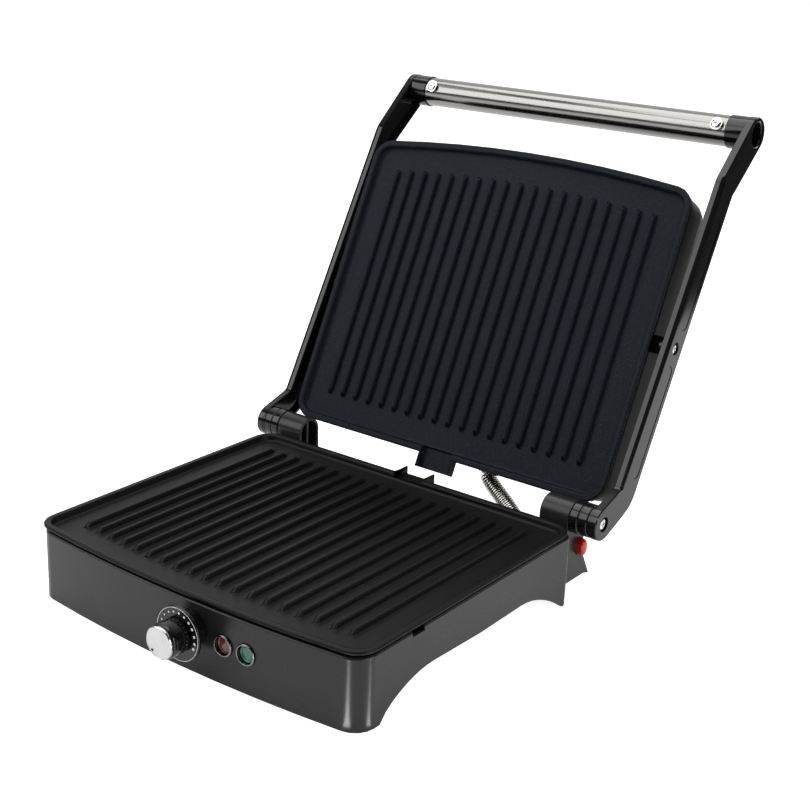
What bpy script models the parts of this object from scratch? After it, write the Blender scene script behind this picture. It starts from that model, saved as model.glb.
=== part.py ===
# Tabletop contact grill with its lid open: one named object for each piece, metres, Z up.
# All sizes are measured from the hinge line: X to the right, Y to the back, Z from the table.
import bmesh
import bpy
from math import acos, asin, atan2, cos, hypot, pi, radians, sin, sqrt, tan
from mathutils import Matrix, Vector

# Fits shared by all pieces
fit_gap = 0.0003
overrun = 0.0020
large_round = 28
small_round = 16
corner_steps = 4
front_steps = 8

# Hinge line and the pose the lid stands in
hinge_height = 0.0657
lid_opening = radians(123)
float_at_rest = radians(7.5)
arm_slope = radians(4.6)
plate_tilt = radians(0.77)
lid_stop = radians(0.68)

# Cooking plates, alike above and below
plate_half_width = 0.1550
plate_front = -0.2775
plate_rear = -0.0146
plate_bow = 0.0098
plate_corner = 0.0170
rim_drop = 0.0062
lower_rim_height = hinge_height - rim_drop
closed_plate_gap = 0.0005
rim_thickness = 0.0027
rim_width = 0.0046
rim_round = 0.0008
basin_depth = 0.0050
basin_slope = 0.0026
basin_round = 0.0009
floor_thickness = 0.0030
flange_width = 0.0026
well_margin = 0.0052
well_start_depth = 0.0049
well_slope = 0.0008
upper_rim_height = lower_rim_height + closed_plate_gap
lower_floor_under = lower_rim_height - basin_depth - floor_thickness
upper_floor_back = upper_rim_height + basin_depth + floor_thickness

# Base skirt, the outer moulding of the lower half
skirt_inset = 0.0015
skirt_half_width = plate_half_width - skirt_inset
skirt_front = plate_front + skirt_inset
skirt_rear_inset = 0.0014
skirt_rear = plate_rear - skirt_rear_inset
skirt_bow = 0.0098
skirt_front_corner = 0.0160
skirt_rear_corner = 0.0065
skirt_wall = 0.0030
skirt_drop = 0.0055
skirt_top = lower_rim_height - skirt_drop
skirt_bottom = 0.0010
skirt_edge_round = 0.0010

# Bottom cover
cover_thickness = 0.0025
cover_under = 0.0250
cover_top = cover_under + cover_thickness

# Hinge towers on the back of the base
tower_side_gap = 0.0087
tower_width = 0.0253
tower_outer = plate_half_width - tower_side_gap
tower_inner = tower_outer - tower_width
tower_round = 0.0126

# Arms that carry the lid, drawn along S from the hinge and T across
collar_length = 0.0161
hub_inner = tower_outer + collar_length
hub_step = 0.0009
arm_inner = hub_inner + hub_step
arm_thickness = 0.0069
arm_outer = arm_inner + arm_thickness
hub_round = 0.0130
arm_front_t = 0.0105
arm_rear_t = 0.0355
handle_reach = 0.0537
arm_end_s = handle_reach - plate_front
arm_end_t = 0.0428
arm_end_round = 0.0138
pivot_lead = 0.00025
pivot_s = pivot_lead - (plate_front + plate_rear) / 2
pivot_t = 0.0230

# Pins and screws
pin_round = 0.0050
pin_screw_round = 0.0020
pivot_screw_round = 0.0022

# Handle tube
tube_round = 0.0125
tube_bore = 0.0113
tube_recess = 0.0153
tube_half_length = arm_inner - tube_recess

# Lid housing, drawn with the grill closed
shell_inset = 0.0020
shell_half_width = plate_half_width - shell_inset
shell_front = plate_front + shell_inset
shell_rear_inset = 0.0032
shell_rear = plate_rear - shell_rear_inset
shell_corner = 0.0155
shell_wall = 0.0026
shell_rise = 0.0098
shell_under = lower_rim_height + shell_rise
shell_height = 0.0357
shell_top = shell_under + shell_height

# Thermostat dial and knob on the front
dial_x = 0.0153
dial_height = 0.0350
dial_length = 0.0141
knob_length = 0.0169
shaft_round = 0.0030

# Spring guard that carries the wires to the lid
guard_base_x = 0.0980
guard_base_height = 0.0387
guard_lid_x = 0.0367
guard_lid_rise = 0.0185
guard_lid_height = shell_under + guard_lid_rise
guard_outer_round = 0.0059
guard_wire_round = 0.00075
guard_pitch = 0.0032

# Where the closed pivot of the lid lies, and where the back of the open grill is
pivot_y = -pivot_s * cos(arm_slope) - pivot_t * sin(arm_slope)
pivot_z = hinge_height - pivot_s * sin(arm_slope) + pivot_t * cos(arm_slope)
seat_y = pivot_y * cos(lid_stop) + (pivot_z - hinge_height) * sin(lid_stop)
seat_z = hinge_height - pivot_y * sin(lid_stop) + (pivot_z - hinge_height) * cos(lid_stop)
arm_turn = arm_slope - lid_opening
open_back = -arm_end_s * cos(arm_turn) - arm_end_t * sin(arm_turn) + arm_end_round
open_front = skirt_front - dial_length - knob_length - fit_gap
frame_shift = -(open_back + open_front) / 2

# Colour, roughness and metallic value of each finish
finishes = {
    "matte_black": ((0.022, 0.022, 0.024), 0.55, 0.0),
    "satin_black": ((0.030, 0.029, 0.031), 0.38, 0.0),
    "gloss_black": ((0.008, 0.008, 0.009), 0.12, 0.0),
    "coated_plate": ((0.024, 0.028, 0.034), 0.48, 0.2),
    "rubber": ((0.015, 0.015, 0.015), 0.85, 0.0),
    "steel": ((0.55, 0.54, 0.52), 0.28, 1.0),
    "chrome": ((0.72, 0.72, 0.72), 0.12, 1.0),
    "aluminium": ((0.70, 0.70, 0.70), 0.30, 1.0),
    "zinc": ((0.42, 0.42, 0.40), 0.45, 1.0),
    "red": ((0.45, 0.01, 0.01), 0.22, 0.0),
    "red_lens": ((0.18, 0.02, 0.02), 0.12, 0.0),
    "green_lens": ((0.02, 0.20, 0.10), 0.12, 0.0),
    "ceramic": ((0.62, 0.58, 0.50), 0.60, 0.0),
}


# Shapes are lists of points and faces in the space of the parent
def loft(rings, closed=False):
    count = len(rings[0])
    points = [point for ring in rings for point in ring]
    faces = []
    spans = len(rings) if closed else len(rings) - 1
    for span in range(spans):
        first = span * count
        second = (span + 1) % len(rings) * count
        for index in range(count):
            following = (index + 1) % count
            faces.append((first + index, first + following, second + following, second + index))
    if not closed:
        faces.append(tuple(reversed(range(count))))
        faces.append(tuple(range(len(points) - count, len(points))))
    return points, faces


def turned(profile, steps):
    points = []
    rings = []
    for radius, height in profile:
        if radius == 0:
            rings.append([len(points)])
            points.append((0, 0, height))
            continue
        rings.append(list(range(len(points), len(points) + steps)))
        for step in range(steps):
            angle = 2 * pi * step / steps
            points.append((radius * cos(angle), radius * sin(angle), height))
    faces = []
    for index, ring in enumerate(rings):
        other = rings[(index + 1) % len(rings)]
        if len(ring) == 1 and len(other) == 1:
            continue
        for step in range(steps):
            following = (step + 1) % steps
            if len(ring) == 1:
                faces.append((ring[0], other[following], other[step]))
            elif len(other) == 1:
                faces.append((ring[step], ring[following], other[0]))
            else:
                faces.append((ring[step], ring[following], other[following], other[step]))
    return points, faces


def rod(radius, low, high, steps):
    return turned([(0, low), (radius, low), (radius, high), (0, high)], steps)


def block(low, high):
    ring = [(low[0], low[1]), (high[0], low[1]), (high[0], high[1]), (low[0], high[1])]
    return loft([[(x, y, z) for x, y in ring] for z in (low[2], high[2])])


def slab(outline, low, high):
    return loft([[(x, y, z) for y, z in outline] for x in (low, high)])


def placed(shape, location, turn=(0, 0, 0)):
    matrix = Matrix.Translation(location)
    for angle, axis in zip(turn, "XYZ"):
        matrix = matrix @ Matrix.Rotation(angle, 4, axis)
    return [tuple(matrix @ Vector(point)) for point in shape[0]], shape[1]


def joined(*shapes):
    points = []
    faces = []
    for shape_points, shape_faces in shapes:
        start = len(points)
        points.extend(shape_points)
        faces.extend(tuple(start + index for index in face) for face in shape_faces)
    return points, faces


# A turned shape looks along its own Z, these turns point it to a side
to_front = (pi / 2, 0, 0)
to_back = (-pi / 2, 0, 0)


def to_side(side):
    return (0, side * pi / 2, 0)


# Outlines are lists of points in a plane
def arc(centre, radius, start, end, steps):
    angles = [start + (end - start) * step / steps for step in range(steps + 1)]
    return [(centre[0] + radius * cos(angle), centre[1] + radius * sin(angle)) for angle in angles]


def fillet(before, corner, after, radius, steps):
    corner = Vector(corner)
    towards = (Vector(before) - corner).normalized()
    away = (Vector(after) - corner).normalized()
    half = acos(max(-1, min(1, towards.dot(away)))) / 2
    centre = corner + (towards + away).normalized() * radius / sin(half)
    start = corner + towards * radius / tan(half) - centre
    end = corner + away * radius / tan(half) - centre
    first = atan2(start.y, start.x)
    sweep = (atan2(end.y, end.x) - first + pi) % (2 * pi) - pi
    return arc(centre, radius, first, first + sweep, steps)


def touching(point, centre, radius, turn):
    way = Vector(centre) - Vector(point)
    swing = turn * asin(radius / way.length)
    reach = sqrt(way.length ** 2 - radius ** 2)
    way.normalize()
    direction = Vector((way.x * cos(swing) - way.y * sin(swing), way.x * sin(swing) + way.y * cos(swing)))
    return tuple(Vector(point) + direction * reach)


def inset_outline(outline, distance):
    result = []
    for index, point in enumerate(outline):
        here = Vector(point)
        before = (here - Vector(outline[index - 1])).normalized()
        after = (Vector(outline[(index + 1) % len(outline)]) - here).normalized()
        normal = Vector((-before.y - after.y, before.x + after.x)).normalized()
        result.append(tuple(here + normal * distance / max(normal.dot(Vector((-after.y, after.x))), 0.3)))
    return result


def rounded_rectangle(half_width, half_height, corner, steps):
    outline = []
    quarter = pi / 2
    for index, (side, level) in enumerate(((1, -1), (1, 1), (-1, 1), (-1, -1))):
        centre = (side * (half_width - corner), level * (half_height - corner))
        outline += arc(centre, corner, (index - 1) * quarter, index * quarter, steps)
    return outline


def bow_radius(half_width, bow):
    return (half_width ** 2 + bow ** 2) / (2 * bow)


# Plan of a moulding with a bowed front and four round corners
def plan(half_width, front, rear, bow, front_corner, rear_corner, inset):
    radius = bow_radius(half_width, bow)
    middle = front + radius
    side_x = half_width - front_corner
    side_y = middle - sqrt((radius - front_corner) ** 2 - side_x ** 2)
    swing = atan2(side_y - middle, side_x)
    rear_x = half_width - rear_corner
    rear_y = rear - rear_corner
    outline = arc((0, middle), radius - inset, -pi - swing, swing, front_steps)
    outline += arc((side_x, side_y), front_corner - inset, swing, 0, corner_steps)[1:]
    outline += arc((rear_x, rear_y), rear_corner - inset, 0, pi / 2, corner_steps)
    outline += arc((-rear_x, rear_y), rear_corner - inset, pi / 2, pi, corner_steps)
    outline += arc((-side_x, side_y), front_corner - inset, pi, pi - swing, corner_steps)[:-1]
    return outline


def plate_ring(inset, height):
    outline = plan(plate_half_width, plate_front, plate_rear, plate_bow, plate_corner, plate_corner, inset)
    return [(x, y, height) for x, y in outline]


def skirt_ring(inset, height):
    outline = plan(skirt_half_width, skirt_front, skirt_rear, skirt_bow,
                   skirt_front_corner, skirt_rear_corner, inset)
    return [(x, y, height) for x, y in outline]


# The top of the base and the lower plate lean up to the back
def rise(y):
    return (y - plate_front) * tan(plate_tilt)


def leaning(ring):
    return [(x, y, z + rise(y)) for x, y, z in ring]


def shell_ring(inset, height):
    outline = plan(shell_half_width, shell_front, shell_rear, plate_bow, shell_corner, shell_corner, inset)
    return [(x, y, height) for x, y in outline]


def skirt_face(x):
    radius = bow_radius(skirt_half_width, skirt_bow)
    return skirt_front + radius - sqrt(radius ** 2 - x ** 2)


# Objects
def clear_scene():
    for item in list(bpy.data.objects):
        bpy.data.objects.remove(item, do_unlink=True)


def add_empty(name, parent, location, turn=0):
    empty = bpy.data.objects.new(name, None)
    bpy.context.scene.collection.objects.link(empty)
    empty.parent = parent
    empty.location = location
    empty.rotation_euler = (turn, 0, 0)
    return empty


def dress(item, finish):
    colour, roughness, metallic = finishes[finish]
    material = bpy.data.materials.new(item.name + "_" + finish)
    material.use_nodes = True
    shader = material.node_tree.nodes["Principled BSDF"]
    shader.inputs["Base Color"].default_value = (*colour, 1)
    shader.inputs["Roughness"].default_value = roughness
    shader.inputs["Metallic"].default_value = metallic
    item.data.materials.append(material)


def add_mesh_object(name, shape, parent):
    mesh = bpy.data.meshes.new(name)
    mesh.from_pydata(shape[0], [], shape[1])
    face_outwards(mesh)
    item = bpy.data.objects.new(name, mesh)
    bpy.context.scene.collection.objects.link(item)
    item.parent = parent
    return item


def face_outwards(mesh):
    work = bmesh.new()
    work.from_mesh(mesh)
    bmesh.ops.recalc_face_normals(work, faces=work.faces)
    work.to_mesh(mesh)
    work.free()


def add_piece(name, shape, finish, parent, smooth=radians(35)):
    item = add_mesh_object(name, shape, parent)
    item.data.shade_smooth()
    item.data.set_sharp_from_angle(angle=smooth)
    dress(item, finish)
    return item


def combine(item, name, shape, operation):
    tool = add_mesh_object(item.name + "_" + name, shape, item.parent)
    tool.hide_render = True
    tool.display_type = "WIRE"
    step = item.modifiers.new(name, "BOOLEAN")
    step.operation = operation
    step.solver = "EXACT"
    step.object = tool


def add(item, name, *shapes):
    combine(item, name, joined(*shapes), "UNION")


def cut(item, name, *shapes):
    combine(item, name, joined(*shapes), "DIFFERENCE")


def add_tube(name, route, radius, resolution, finish, parent):
    curve = bpy.data.curves.new(name, "CURVE")
    curve.dimensions = "3D"
    curve.bevel_depth = radius
    curve.bevel_resolution = resolution
    curve.use_fill_caps = True
    spline = curve.splines.new("POLY")
    spline.points.add(len(route) - 1)
    for point, place in zip(spline.points, route):
        point.co = (*place, 1)
    item = bpy.data.objects.new(name, curve)
    bpy.context.scene.collection.objects.link(item)
    item.parent = parent
    dress(item, finish)
    return item


sides = (("left", -1), ("right", 1))

# Cooking plate details
rib_count = 19
rib_side_margin = 0.0290
rib_pitch = 2 * (plate_half_width - rib_side_margin) / (rib_count - 1)
rib_height = 0.0039
rib_half_base = 0.0028
rib_half_shoulder = 0.0017
rib_half_tip = 0.0009
rib_shoulder_drop = 0.0007
rib_sink = 0.0010
rib_end_slope = 0.0030
rib_end_share = 0.1
rib_margin = 0.0260
spout_sink = 0.0004
lower_spout_half_width = 0.0144
lower_spout_length = 0.0127
lower_spout_proud = 0.0010
upper_spout_half_width = 0.0168
upper_spout_length = 0.0122
spout_wall = 0.0017
spout_clearance = 0.0006

# Base housing details
arch_front_margin = 0.0290
arch_front = skirt_front + arch_front_margin
arch_back_margin = 0.0064
arch_back = skirt_rear - arch_back_margin
arch_height = 0.0241
arch_front_reach = 0.0570
arch_back_reach = 0.0600
arch_front_fullness_share = 0.67
arch_back_fullness_share = 0.95
arch_steps = 8
post_round = 0.0050
post_side_margin = 0.0185
post_x = skirt_half_width - post_side_margin
post_front_margin = 0.0280
post_front_y = skirt_front + post_front_margin
post_rear_margin = 0.0230
post_rear_y = skirt_rear - post_rear_margin
post_web = 0.0030
post_web_drop = 0.0030
land_half_width = 0.0150
land_half_depth = 0.0100
land_height = 0.0030
foot_side_margin = 0.0205
front_foot_x = skirt_half_width - foot_side_margin
foot_front_margin = 0.0190
front_foot_y = skirt_front + foot_front_margin
rear_foot_lead = 0.0050
rear_foot_x = tower_inner + rear_foot_lead
rear_foot_y = 0.0120
foot_round = 0.0060
foot_height = 0.0027
foot_boss_round = 0.0070
foot_boss_height = 0.0100
tower_wall = 0.0025
pin_bore_lead = 0.0108
pin_bore_end = tower_outer - pin_bore_lead
tower_web = 0.0015
tower_cavity_end = pin_bore_end - tower_web
tower_cavity_floor = 0.0300
tower_rib = 0.0020
tower_under = 0.0120
tower_waist_y = 0.0155
tower_waist_height = 0.0274
tower_shoulder_drop = 0.0157
tower_shoulder_height = hinge_height - tower_shoulder_drop
tower_heel_y = 0.0241
tower_heel_height = 0.0124
tower_toe_y = 0.0255
tower_toe_height = 0.0097
tower_toe_back = 0.0179
notch_lead = 0.0620
notch_front = skirt_front + notch_lead
notch_length = 0.0130
notch_back = notch_front + notch_length
notch_depth = 0.0035
shaft_hole = 0.0045
lamp_xs = (0.0431, 0.0627)
lamp_height = 0.0304
lamp_hole = 0.0075
guard_hole = 0.0066
gland_x = -0.0600
gland_height = 0.0345
gland_hole = 0.0055
button_y = 0.0071
button_height = 0.0389
button_half_width = 0.0042
button_half_height = 0.0068
button_corner = 0.0035
button_reach = 0.0059
button_travel = 0.0035
button_seat_depth = 0.0073
button_inner = tower_outer - button_seat_depth
button_dome = 0.0014


def arch_side(end, reach, fullness_share):
    points = []
    for step in range(arch_steps + 1):
        share = step / arch_steps
        points.append((end + reach * share, arch_height * sin(share * pi / 2) ** fullness_share))
    return points


def arch_outline():
    crown = ((arch_front + arch_back) / 2, arch_height - cover_thickness / 2)
    outline = arch_side(arch_back, -arch_back_reach, arch_back_fullness_share) + [crown]
    outline += reversed(arch_side(arch_front, arch_front_reach, arch_front_fullness_share))
    outline += [(arch_front, -overrun), (arch_back, -overrun)]
    return outline


def tower_outline():
    join_y = skirt_rear - skirt_wall / 2
    step = skirt_top + rise(join_y) - skirt_edge_round
    outline = [(tower_toe_y, tower_toe_height), (tower_heel_y, tower_heel_height)]
    outline += [(tower_waist_y, tower_waist_height), (tower_round, tower_shoulder_height)]
    outline += arc((0, hinge_height), tower_round, 0, pi, 14)
    outline += [(-tower_round, step), (join_y, step), (join_y, tower_under)]
    outline.append((tower_toe_back, tower_under))
    return outline


def tower_cavity_outline():
    reach = tower_round - tower_wall
    outline = [(reach, tower_cavity_floor)]
    outline += arc((0, hinge_height), reach, 0, pi, 12)
    outline.append((-reach, tower_cavity_floor))
    return outline


def towers():
    outline = tower_outline()
    return [slab(outline, side * tower_inner, side * tower_outer) for word, side in sides]


def tower_cavities():
    outline = tower_cavity_outline()
    return [slab(outline, side * (tower_inner - overrun), side * tower_cavity_end) for word, side in sides]


def tower_ribs():
    top = hinge_height + tower_round - tower_wall / 2
    low = tower_cavity_floor - tower_wall
    half = tower_rib / 2
    return [slab([(half, low), (half, top), (-half, top), (-half, low)],
                 side * (tower_inner + tower_rib), side * (tower_cavity_end + tower_rib))
            for word, side in sides]


def posts():
    shapes = []
    low = cover_top + fit_gap
    for word, side in sides:
        for y in (post_front_y, post_rear_y):
            high = lower_floor_under + rise(y - post_round) - fit_gap
            shapes.append(placed(rod(post_round, low, high, small_round), (side * post_x, y, 0)))
    return shapes


def post_webs():
    shapes = []
    reach = skirt_half_width - skirt_wall / 2
    for word, side in sides:
        for y in (post_front_y, post_rear_y):
            xs = sorted((side * post_x, side * reach))
            low = (xs[0], y - post_web / 2, cover_top + post_web_drop)
            high = (xs[1], y + post_web / 2, lower_floor_under + rise(y) - post_web_drop)
            shapes.append(block(low, high))
    return shapes


def foot_lands():
    shapes = []
    under = foot_height + fit_gap
    reach = skirt_half_width - skirt_wall / 2
    front = skirt_front + skirt_wall / 2 + skirt_bow
    for word, side in sides:
        xs = sorted((side * (front_foot_x - land_half_width), side * reach))
        low = (xs[0], front, under)
        high = (xs[1], front_foot_y + land_half_depth, under + land_height)
        shapes.append(block(low, high))
        boss = rod(foot_boss_round, under, under + foot_boss_height, small_round)
        shapes.append(placed(boss, (side * rear_foot_x, rear_foot_y, 0)))
    return shapes


def button_outline(grow):
    half_height = button_half_height + grow
    outline = rounded_rectangle(button_half_width + grow, half_height, button_corner + grow, 4)
    return [(y + button_y, z + button_height) for y, z in outline]


def base_holes():
    depth = skirt_wall + skirt_bow
    hole = rod(shaft_hole, -depth, overrun, small_round)
    shapes = [placed(hole, (dial_x, skirt_front, dial_height), to_front)]
    for x in lamp_xs:
        hole = rod(lamp_hole, -skirt_wall - overrun, overrun, small_round)
        shapes.append(placed(hole, (x, skirt_face(x), lamp_height), to_front))
    back_holes = [(guard_base_x, guard_base_height, guard_hole), (gland_x, gland_height, gland_hole)]
    for x, z, radius in back_holes:
        hole = rod(radius, -skirt_wall - overrun, overrun, small_round)
        shapes.append(placed(hole, (x, skirt_rear, z), to_back))
    low = (skirt_half_width - skirt_wall - overrun, notch_front, skirt_top + rise(notch_front) - notch_depth)
    high = (skirt_half_width + overrun, notch_back, skirt_top + rise(notch_back) + overrun)
    shapes.append(block(low, high))
    half = lower_spout_half_width + spout_clearance
    under = lower_floor_under + rise(skirt_rear - skirt_wall) - spout_sink - spout_clearance
    low = (-half, skirt_rear - skirt_wall - overrun, under)
    shapes.append(block(low, (half, skirt_rear + overrun, skirt_top + rise(skirt_rear) + overrun)))
    return shapes


def hinge_holes():
    length = tower_outer - pin_bore_end + overrun
    shapes = []
    for word, side in sides:
        bore = rod(pin_round + fit_gap, 0, length, small_round)
        shapes.append(placed(bore, (side * pin_bore_end, 0, hinge_height), to_side(side)))
    pocket_end = button_inner - button_travel - fit_gap
    shapes.append(slab(button_outline(fit_gap), pocket_end, tower_outer + overrun))
    return shapes


def base_housing(parent):
    rings = [skirt_ring(0, skirt_bottom), leaning(skirt_ring(0, skirt_top - skirt_edge_round))]
    rings += [leaning(skirt_ring(skirt_edge_round, skirt_top)), leaning(skirt_ring(skirt_wall, skirt_top))]
    rings += [skirt_ring(skirt_wall, skirt_bottom)]
    item = add_piece("base_housing", loft(rings, closed=True), "satin_black", parent)
    add(item, "towers", *towers())
    add(item, "lands", *foot_lands())
    add(item, "posts", *posts())
    add(item, "webs", *post_webs())
    cut(item, "arches", slab(arch_outline(), -skirt_half_width - overrun, skirt_half_width + overrun))
    cut(item, "cavities", *tower_cavities())
    add(item, "ribs", *tower_ribs())
    cut(item, "holes", *base_holes())
    cut(item, "bores", *hinge_holes())


# Bottom cover with a well for the thermostat and rows of air slots
well_side_lead = 0.0450
well_left = dial_x - well_side_lead
well_lamp_margin = 0.0123
well_right = lamp_xs[1] + well_lamp_margin
well_length = 0.0410
well_back = skirt_front + well_length
well_floor = 0.0085
slot_count = 7
slot_pitch = 0.0120
slot_half_length = 0.0220
slot_half_width = 0.0020
slot_row_y = -0.1300
slot_row_x = 0.0800


def bottom_cover(parent):
    inset = skirt_wall + fit_gap
    rings = [skirt_ring(inset, cover_under), skirt_ring(inset, cover_top)]
    item = add_piece("bottom_cover", loft(rings), "matte_black", parent)
    front = skirt_face(well_right) + skirt_wall + skirt_edge_round
    outer_low = (well_left, front, well_floor)
    outer_high = (well_right, well_back, cover_top - fit_gap)
    add(item, "well", block(outer_low, outer_high))
    inner_low = (well_left + cover_thickness, skirt_front, well_floor + cover_thickness)
    inner_high = (well_right - cover_thickness, well_back - cover_thickness, cover_top + overrun)
    cut(item, "inside", block(inner_low, inner_high))
    slots = []
    for side in (-1, 1):
        for index in range(slot_count):
            y = slot_row_y + (index - (slot_count - 1) / 2) * slot_pitch
            x = side * slot_row_x
            low = (x - slot_half_length, y - slot_half_width, cover_under - overrun)
            high = (x + slot_half_length, y + slot_half_width, cover_top + overrun)
            slots.append(block(low, high))
    cut(item, "slots", *slots)


def feet(parent):
    profile = [(0, 0), (foot_round - skirt_edge_round, 0), (foot_round, skirt_edge_round)]
    profile += [(foot_round, foot_height), (0, foot_height)]
    places = (("front", front_foot_x, front_foot_y), ("rear", rear_foot_x, rear_foot_y))
    for end, x, y in places:
        for word, side in sides:
            foot = placed(turned(profile, small_round), (side * x, y, 0))
            add_piece("foot_" + end + "_" + word, foot, "rubber", parent)


# Cooking plates
def rib_shape(x, floor, facing):
    radius = bow_radius(plate_half_width, plate_bow)
    front = plate_front + radius - sqrt(radius ** 2 - x ** 2) + rib_margin
    rear = plate_rear - rib_margin
    stations = [(front, rib_end_share), (front + rib_end_slope, 1)]
    stations += [(rear - rib_end_slope, 1), (rear, rib_end_share)]
    rings = []
    for y, share in stations:
        shoulder = share * (rib_height - rib_shoulder_drop)
        tip = share * rib_height
        section = [(-rib_half_base, -rib_sink), (rib_half_base, -rib_sink), (rib_half_shoulder, shoulder)]
        section += [(rib_half_tip, tip), (-rib_half_tip, tip), (-rib_half_shoulder, shoulder)]
        rings.append([(x + across, y, floor + facing * up) for across, up in section])
    return loft(rings)


def cooking_plate(name, rim, facing, half_width, length, proud, parent):
    basin_edge = rim_width + basin_slope
    steps = [(basin_edge, basin_depth), (basin_edge - basin_round, basin_depth - basin_round)]
    steps += [(rim_width + rim_round, rim_round), (rim_width, 0), (rim_round, 0), (0, rim_round)]
    steps += [(0, rim_thickness), (flange_width, rim_thickness), (well_margin, well_start_depth)]
    steps += [(well_margin + well_slope, basin_depth + floor_thickness)]
    rings = [plate_ring(inset, rim - facing * depth) for inset, depth in steps]
    item = add_piece(name, loft(rings), "coated_plate", parent)
    floor = rim - facing * basin_depth
    places = [(index - (rib_count - 1) / 2) * rib_pitch for index in range(rib_count)]
    add(item, "ribs", *[rib_shape(x, floor, facing) for x in places])
    front = plate_rear - well_margin
    heights = sorted((rim + facing * proud, floor - facing * (floor_thickness + spout_sink)))
    end = plate_rear + length
    add(item, "spout", block((-half_width, front, heights[0]), (half_width, end, heights[1])))
    front = plate_rear - well_margin - well_slope
    heights = sorted((rim + facing * (proud + overrun), floor - facing * spout_sink))
    half = half_width - spout_wall
    cut(item, "channel", block((-half, front, heights[0]), (half, end + overrun, heights[1])))


# Heating element and its sheet reflector behind each plate
heater_round = 0.0033
heater_side_margin = 0.0550
heater_half_width = plate_half_width - heater_side_margin
heater_front_margin = 0.0525
heater_front = plate_front + heater_front_margin
heater_rear_margin = 0.0454
heater_rear = plate_rear - heater_rear_margin
heater_bend = 0.0200
heater_gap_half = 0.0180
heater_tail = 0.0120
tray_side_margin = 0.0370
tray_half_width = plate_half_width - tray_side_margin
tray_front_margin = 0.0445
tray_front = plate_front + tray_front_margin
tray_rear_margin = 0.0334
tray_rear = plate_rear - tray_rear_margin
tray_corner = 0.0120
tray_depth = 0.0085
tray_sheet = 0.0008


def heater(name, seat, facing, parent):
    height = seat - facing * (heater_round + fit_gap)
    far = heater_half_width
    tail_end = heater_front + heater_tail + heater_bend
    corners = [(heater_gap_half, tail_end), (heater_gap_half, heater_front)]
    corners += [(far, heater_front), (far, heater_rear)]
    corners += [(-far, heater_rear), (-far, heater_front)]
    corners += [(-heater_gap_half, heater_front), (-heater_gap_half, tail_end)]
    bends = [heater_gap_half / 2] + 4 * [heater_bend] + [heater_gap_half / 2]
    route = [corners[0]]
    for index, bend in enumerate(bends):
        route += fillet(corners[index], corners[index + 1], corners[index + 2], bend, 4)
    route.append(corners[-1])
    add_tube(name, [(x, y, height) for x, y in route], heater_round, 1, "zinc", parent)


def reflector(name, seat, facing, parent):
    middle = (tray_front + tray_rear) / 2
    half_length = (tray_rear - tray_front) / 2
    steps = ((tray_sheet, tray_depth - tray_sheet), (tray_sheet, 0), (0, 0), (0, tray_depth))
    rings = []
    for inset, depth in steps:
        outline = rounded_rectangle(tray_half_width - inset, half_length - inset, tray_corner - inset, 4)
        height = seat - facing * (fit_gap + depth)
        rings.append([(x, y + middle, height) for x, y in outline])
    add_piece(name, loft(rings), "aluminium", parent)


# Thermostat, dial, shaft and knob
thermostat_half_width = 0.0180
thermostat_half_height = 0.0120
thermostat_depth = 0.0220
thermostat_corner = 0.0030
thermostat_front = 0.0036
shaft_inner = 0.0140
shaft_outer = 0.0237
dial_round = 0.0200
dial_bore = 0.0040
dial_edge = 0.0008
dial_sheet = 0.0024
dial_boss_round = 0.0132
knob_round = 0.0126
knob_edge = 0.0006
knob_gap = 0.0005
knob_chamfer = 0.0010
knob_chamfer_inset = 0.0005
cap_round = 0.0118
cap_thickness = 0.0020
cap_edge = 0.0006


def front_shape(shape, x, height):
    return placed(shape, (x, skirt_face(0), height), to_front)


def thermostat(parent):
    outline = rounded_rectangle(thermostat_half_width, thermostat_half_height, thermostat_corner, 3)
    heights = (-thermostat_front - thermostat_depth, -thermostat_front)
    body = loft([[(x, y, z) for x, y in outline] for z in heights])
    item = add_piece("thermostat", front_shape(body, dial_x, dial_height), "ceramic", parent)
    bore = rod(shaft_round + fit_gap, -shaft_inner - fit_gap, overrun, small_round)
    cut(item, "bore", front_shape(bore, dial_x, dial_height))


def dial_plate(parent):
    under = dial_length - dial_sheet
    profile = [(dial_bore, fit_gap), (dial_boss_round, fit_gap), (dial_boss_round, under)]
    profile += [(dial_round, under), (dial_round, dial_length - dial_edge)]
    profile += [(dial_round - dial_edge, dial_length), (dial_bore, dial_length)]
    shape = front_shape(turned(profile, large_round), dial_x, dial_height)
    add_piece("dial_plate", shape, "gloss_black", parent)


def knob_pieces(parent):
    low = dial_length + knob_gap
    high = dial_length + knob_length - cap_thickness
    bore = shaft_round + fit_gap
    profile = [(0, shaft_outer + fit_gap), (bore, shaft_outer + fit_gap), (bore, low)]
    profile += [(knob_round - knob_edge, low), (knob_round, low + knob_edge)]
    profile += [(knob_round, high - knob_chamfer), (knob_round - knob_chamfer_inset, high), (0, high)]
    add_piece("knob", placed(turned(profile, large_round), (0, 0, 0), to_front), "gloss_black", parent)
    top = high + cap_thickness + fit_gap
    profile = [(0, high + fit_gap), (cap_round, high + fit_gap), (cap_round, top - cap_edge)]
    profile += [(cap_round - cap_edge, top), (0, top)]
    add_piece("knob_cap", placed(turned(profile, large_round), (0, 0, 0), to_front), "aluminium", parent)
    shaft = placed(rod(shaft_round, -shaft_inner, shaft_outer, small_round), (0, 0, 0), to_front)
    add_piece("thermostat_shaft", shaft, "steel", parent)


# Indicator lamps
bezel_round = 0.0080
bezel_tube = 0.0072
bezel_bore = 0.0067
bezel_proud = 0.0016
bezel_edge = 0.0005
bezel_length = 0.0080
lens_round = 0.0064
lens_recess = 0.0023
lens_depth = 0.0030
lens_dome = 0.0006
lamp_round = 0.0050
lamp_length = 0.0130


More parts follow.
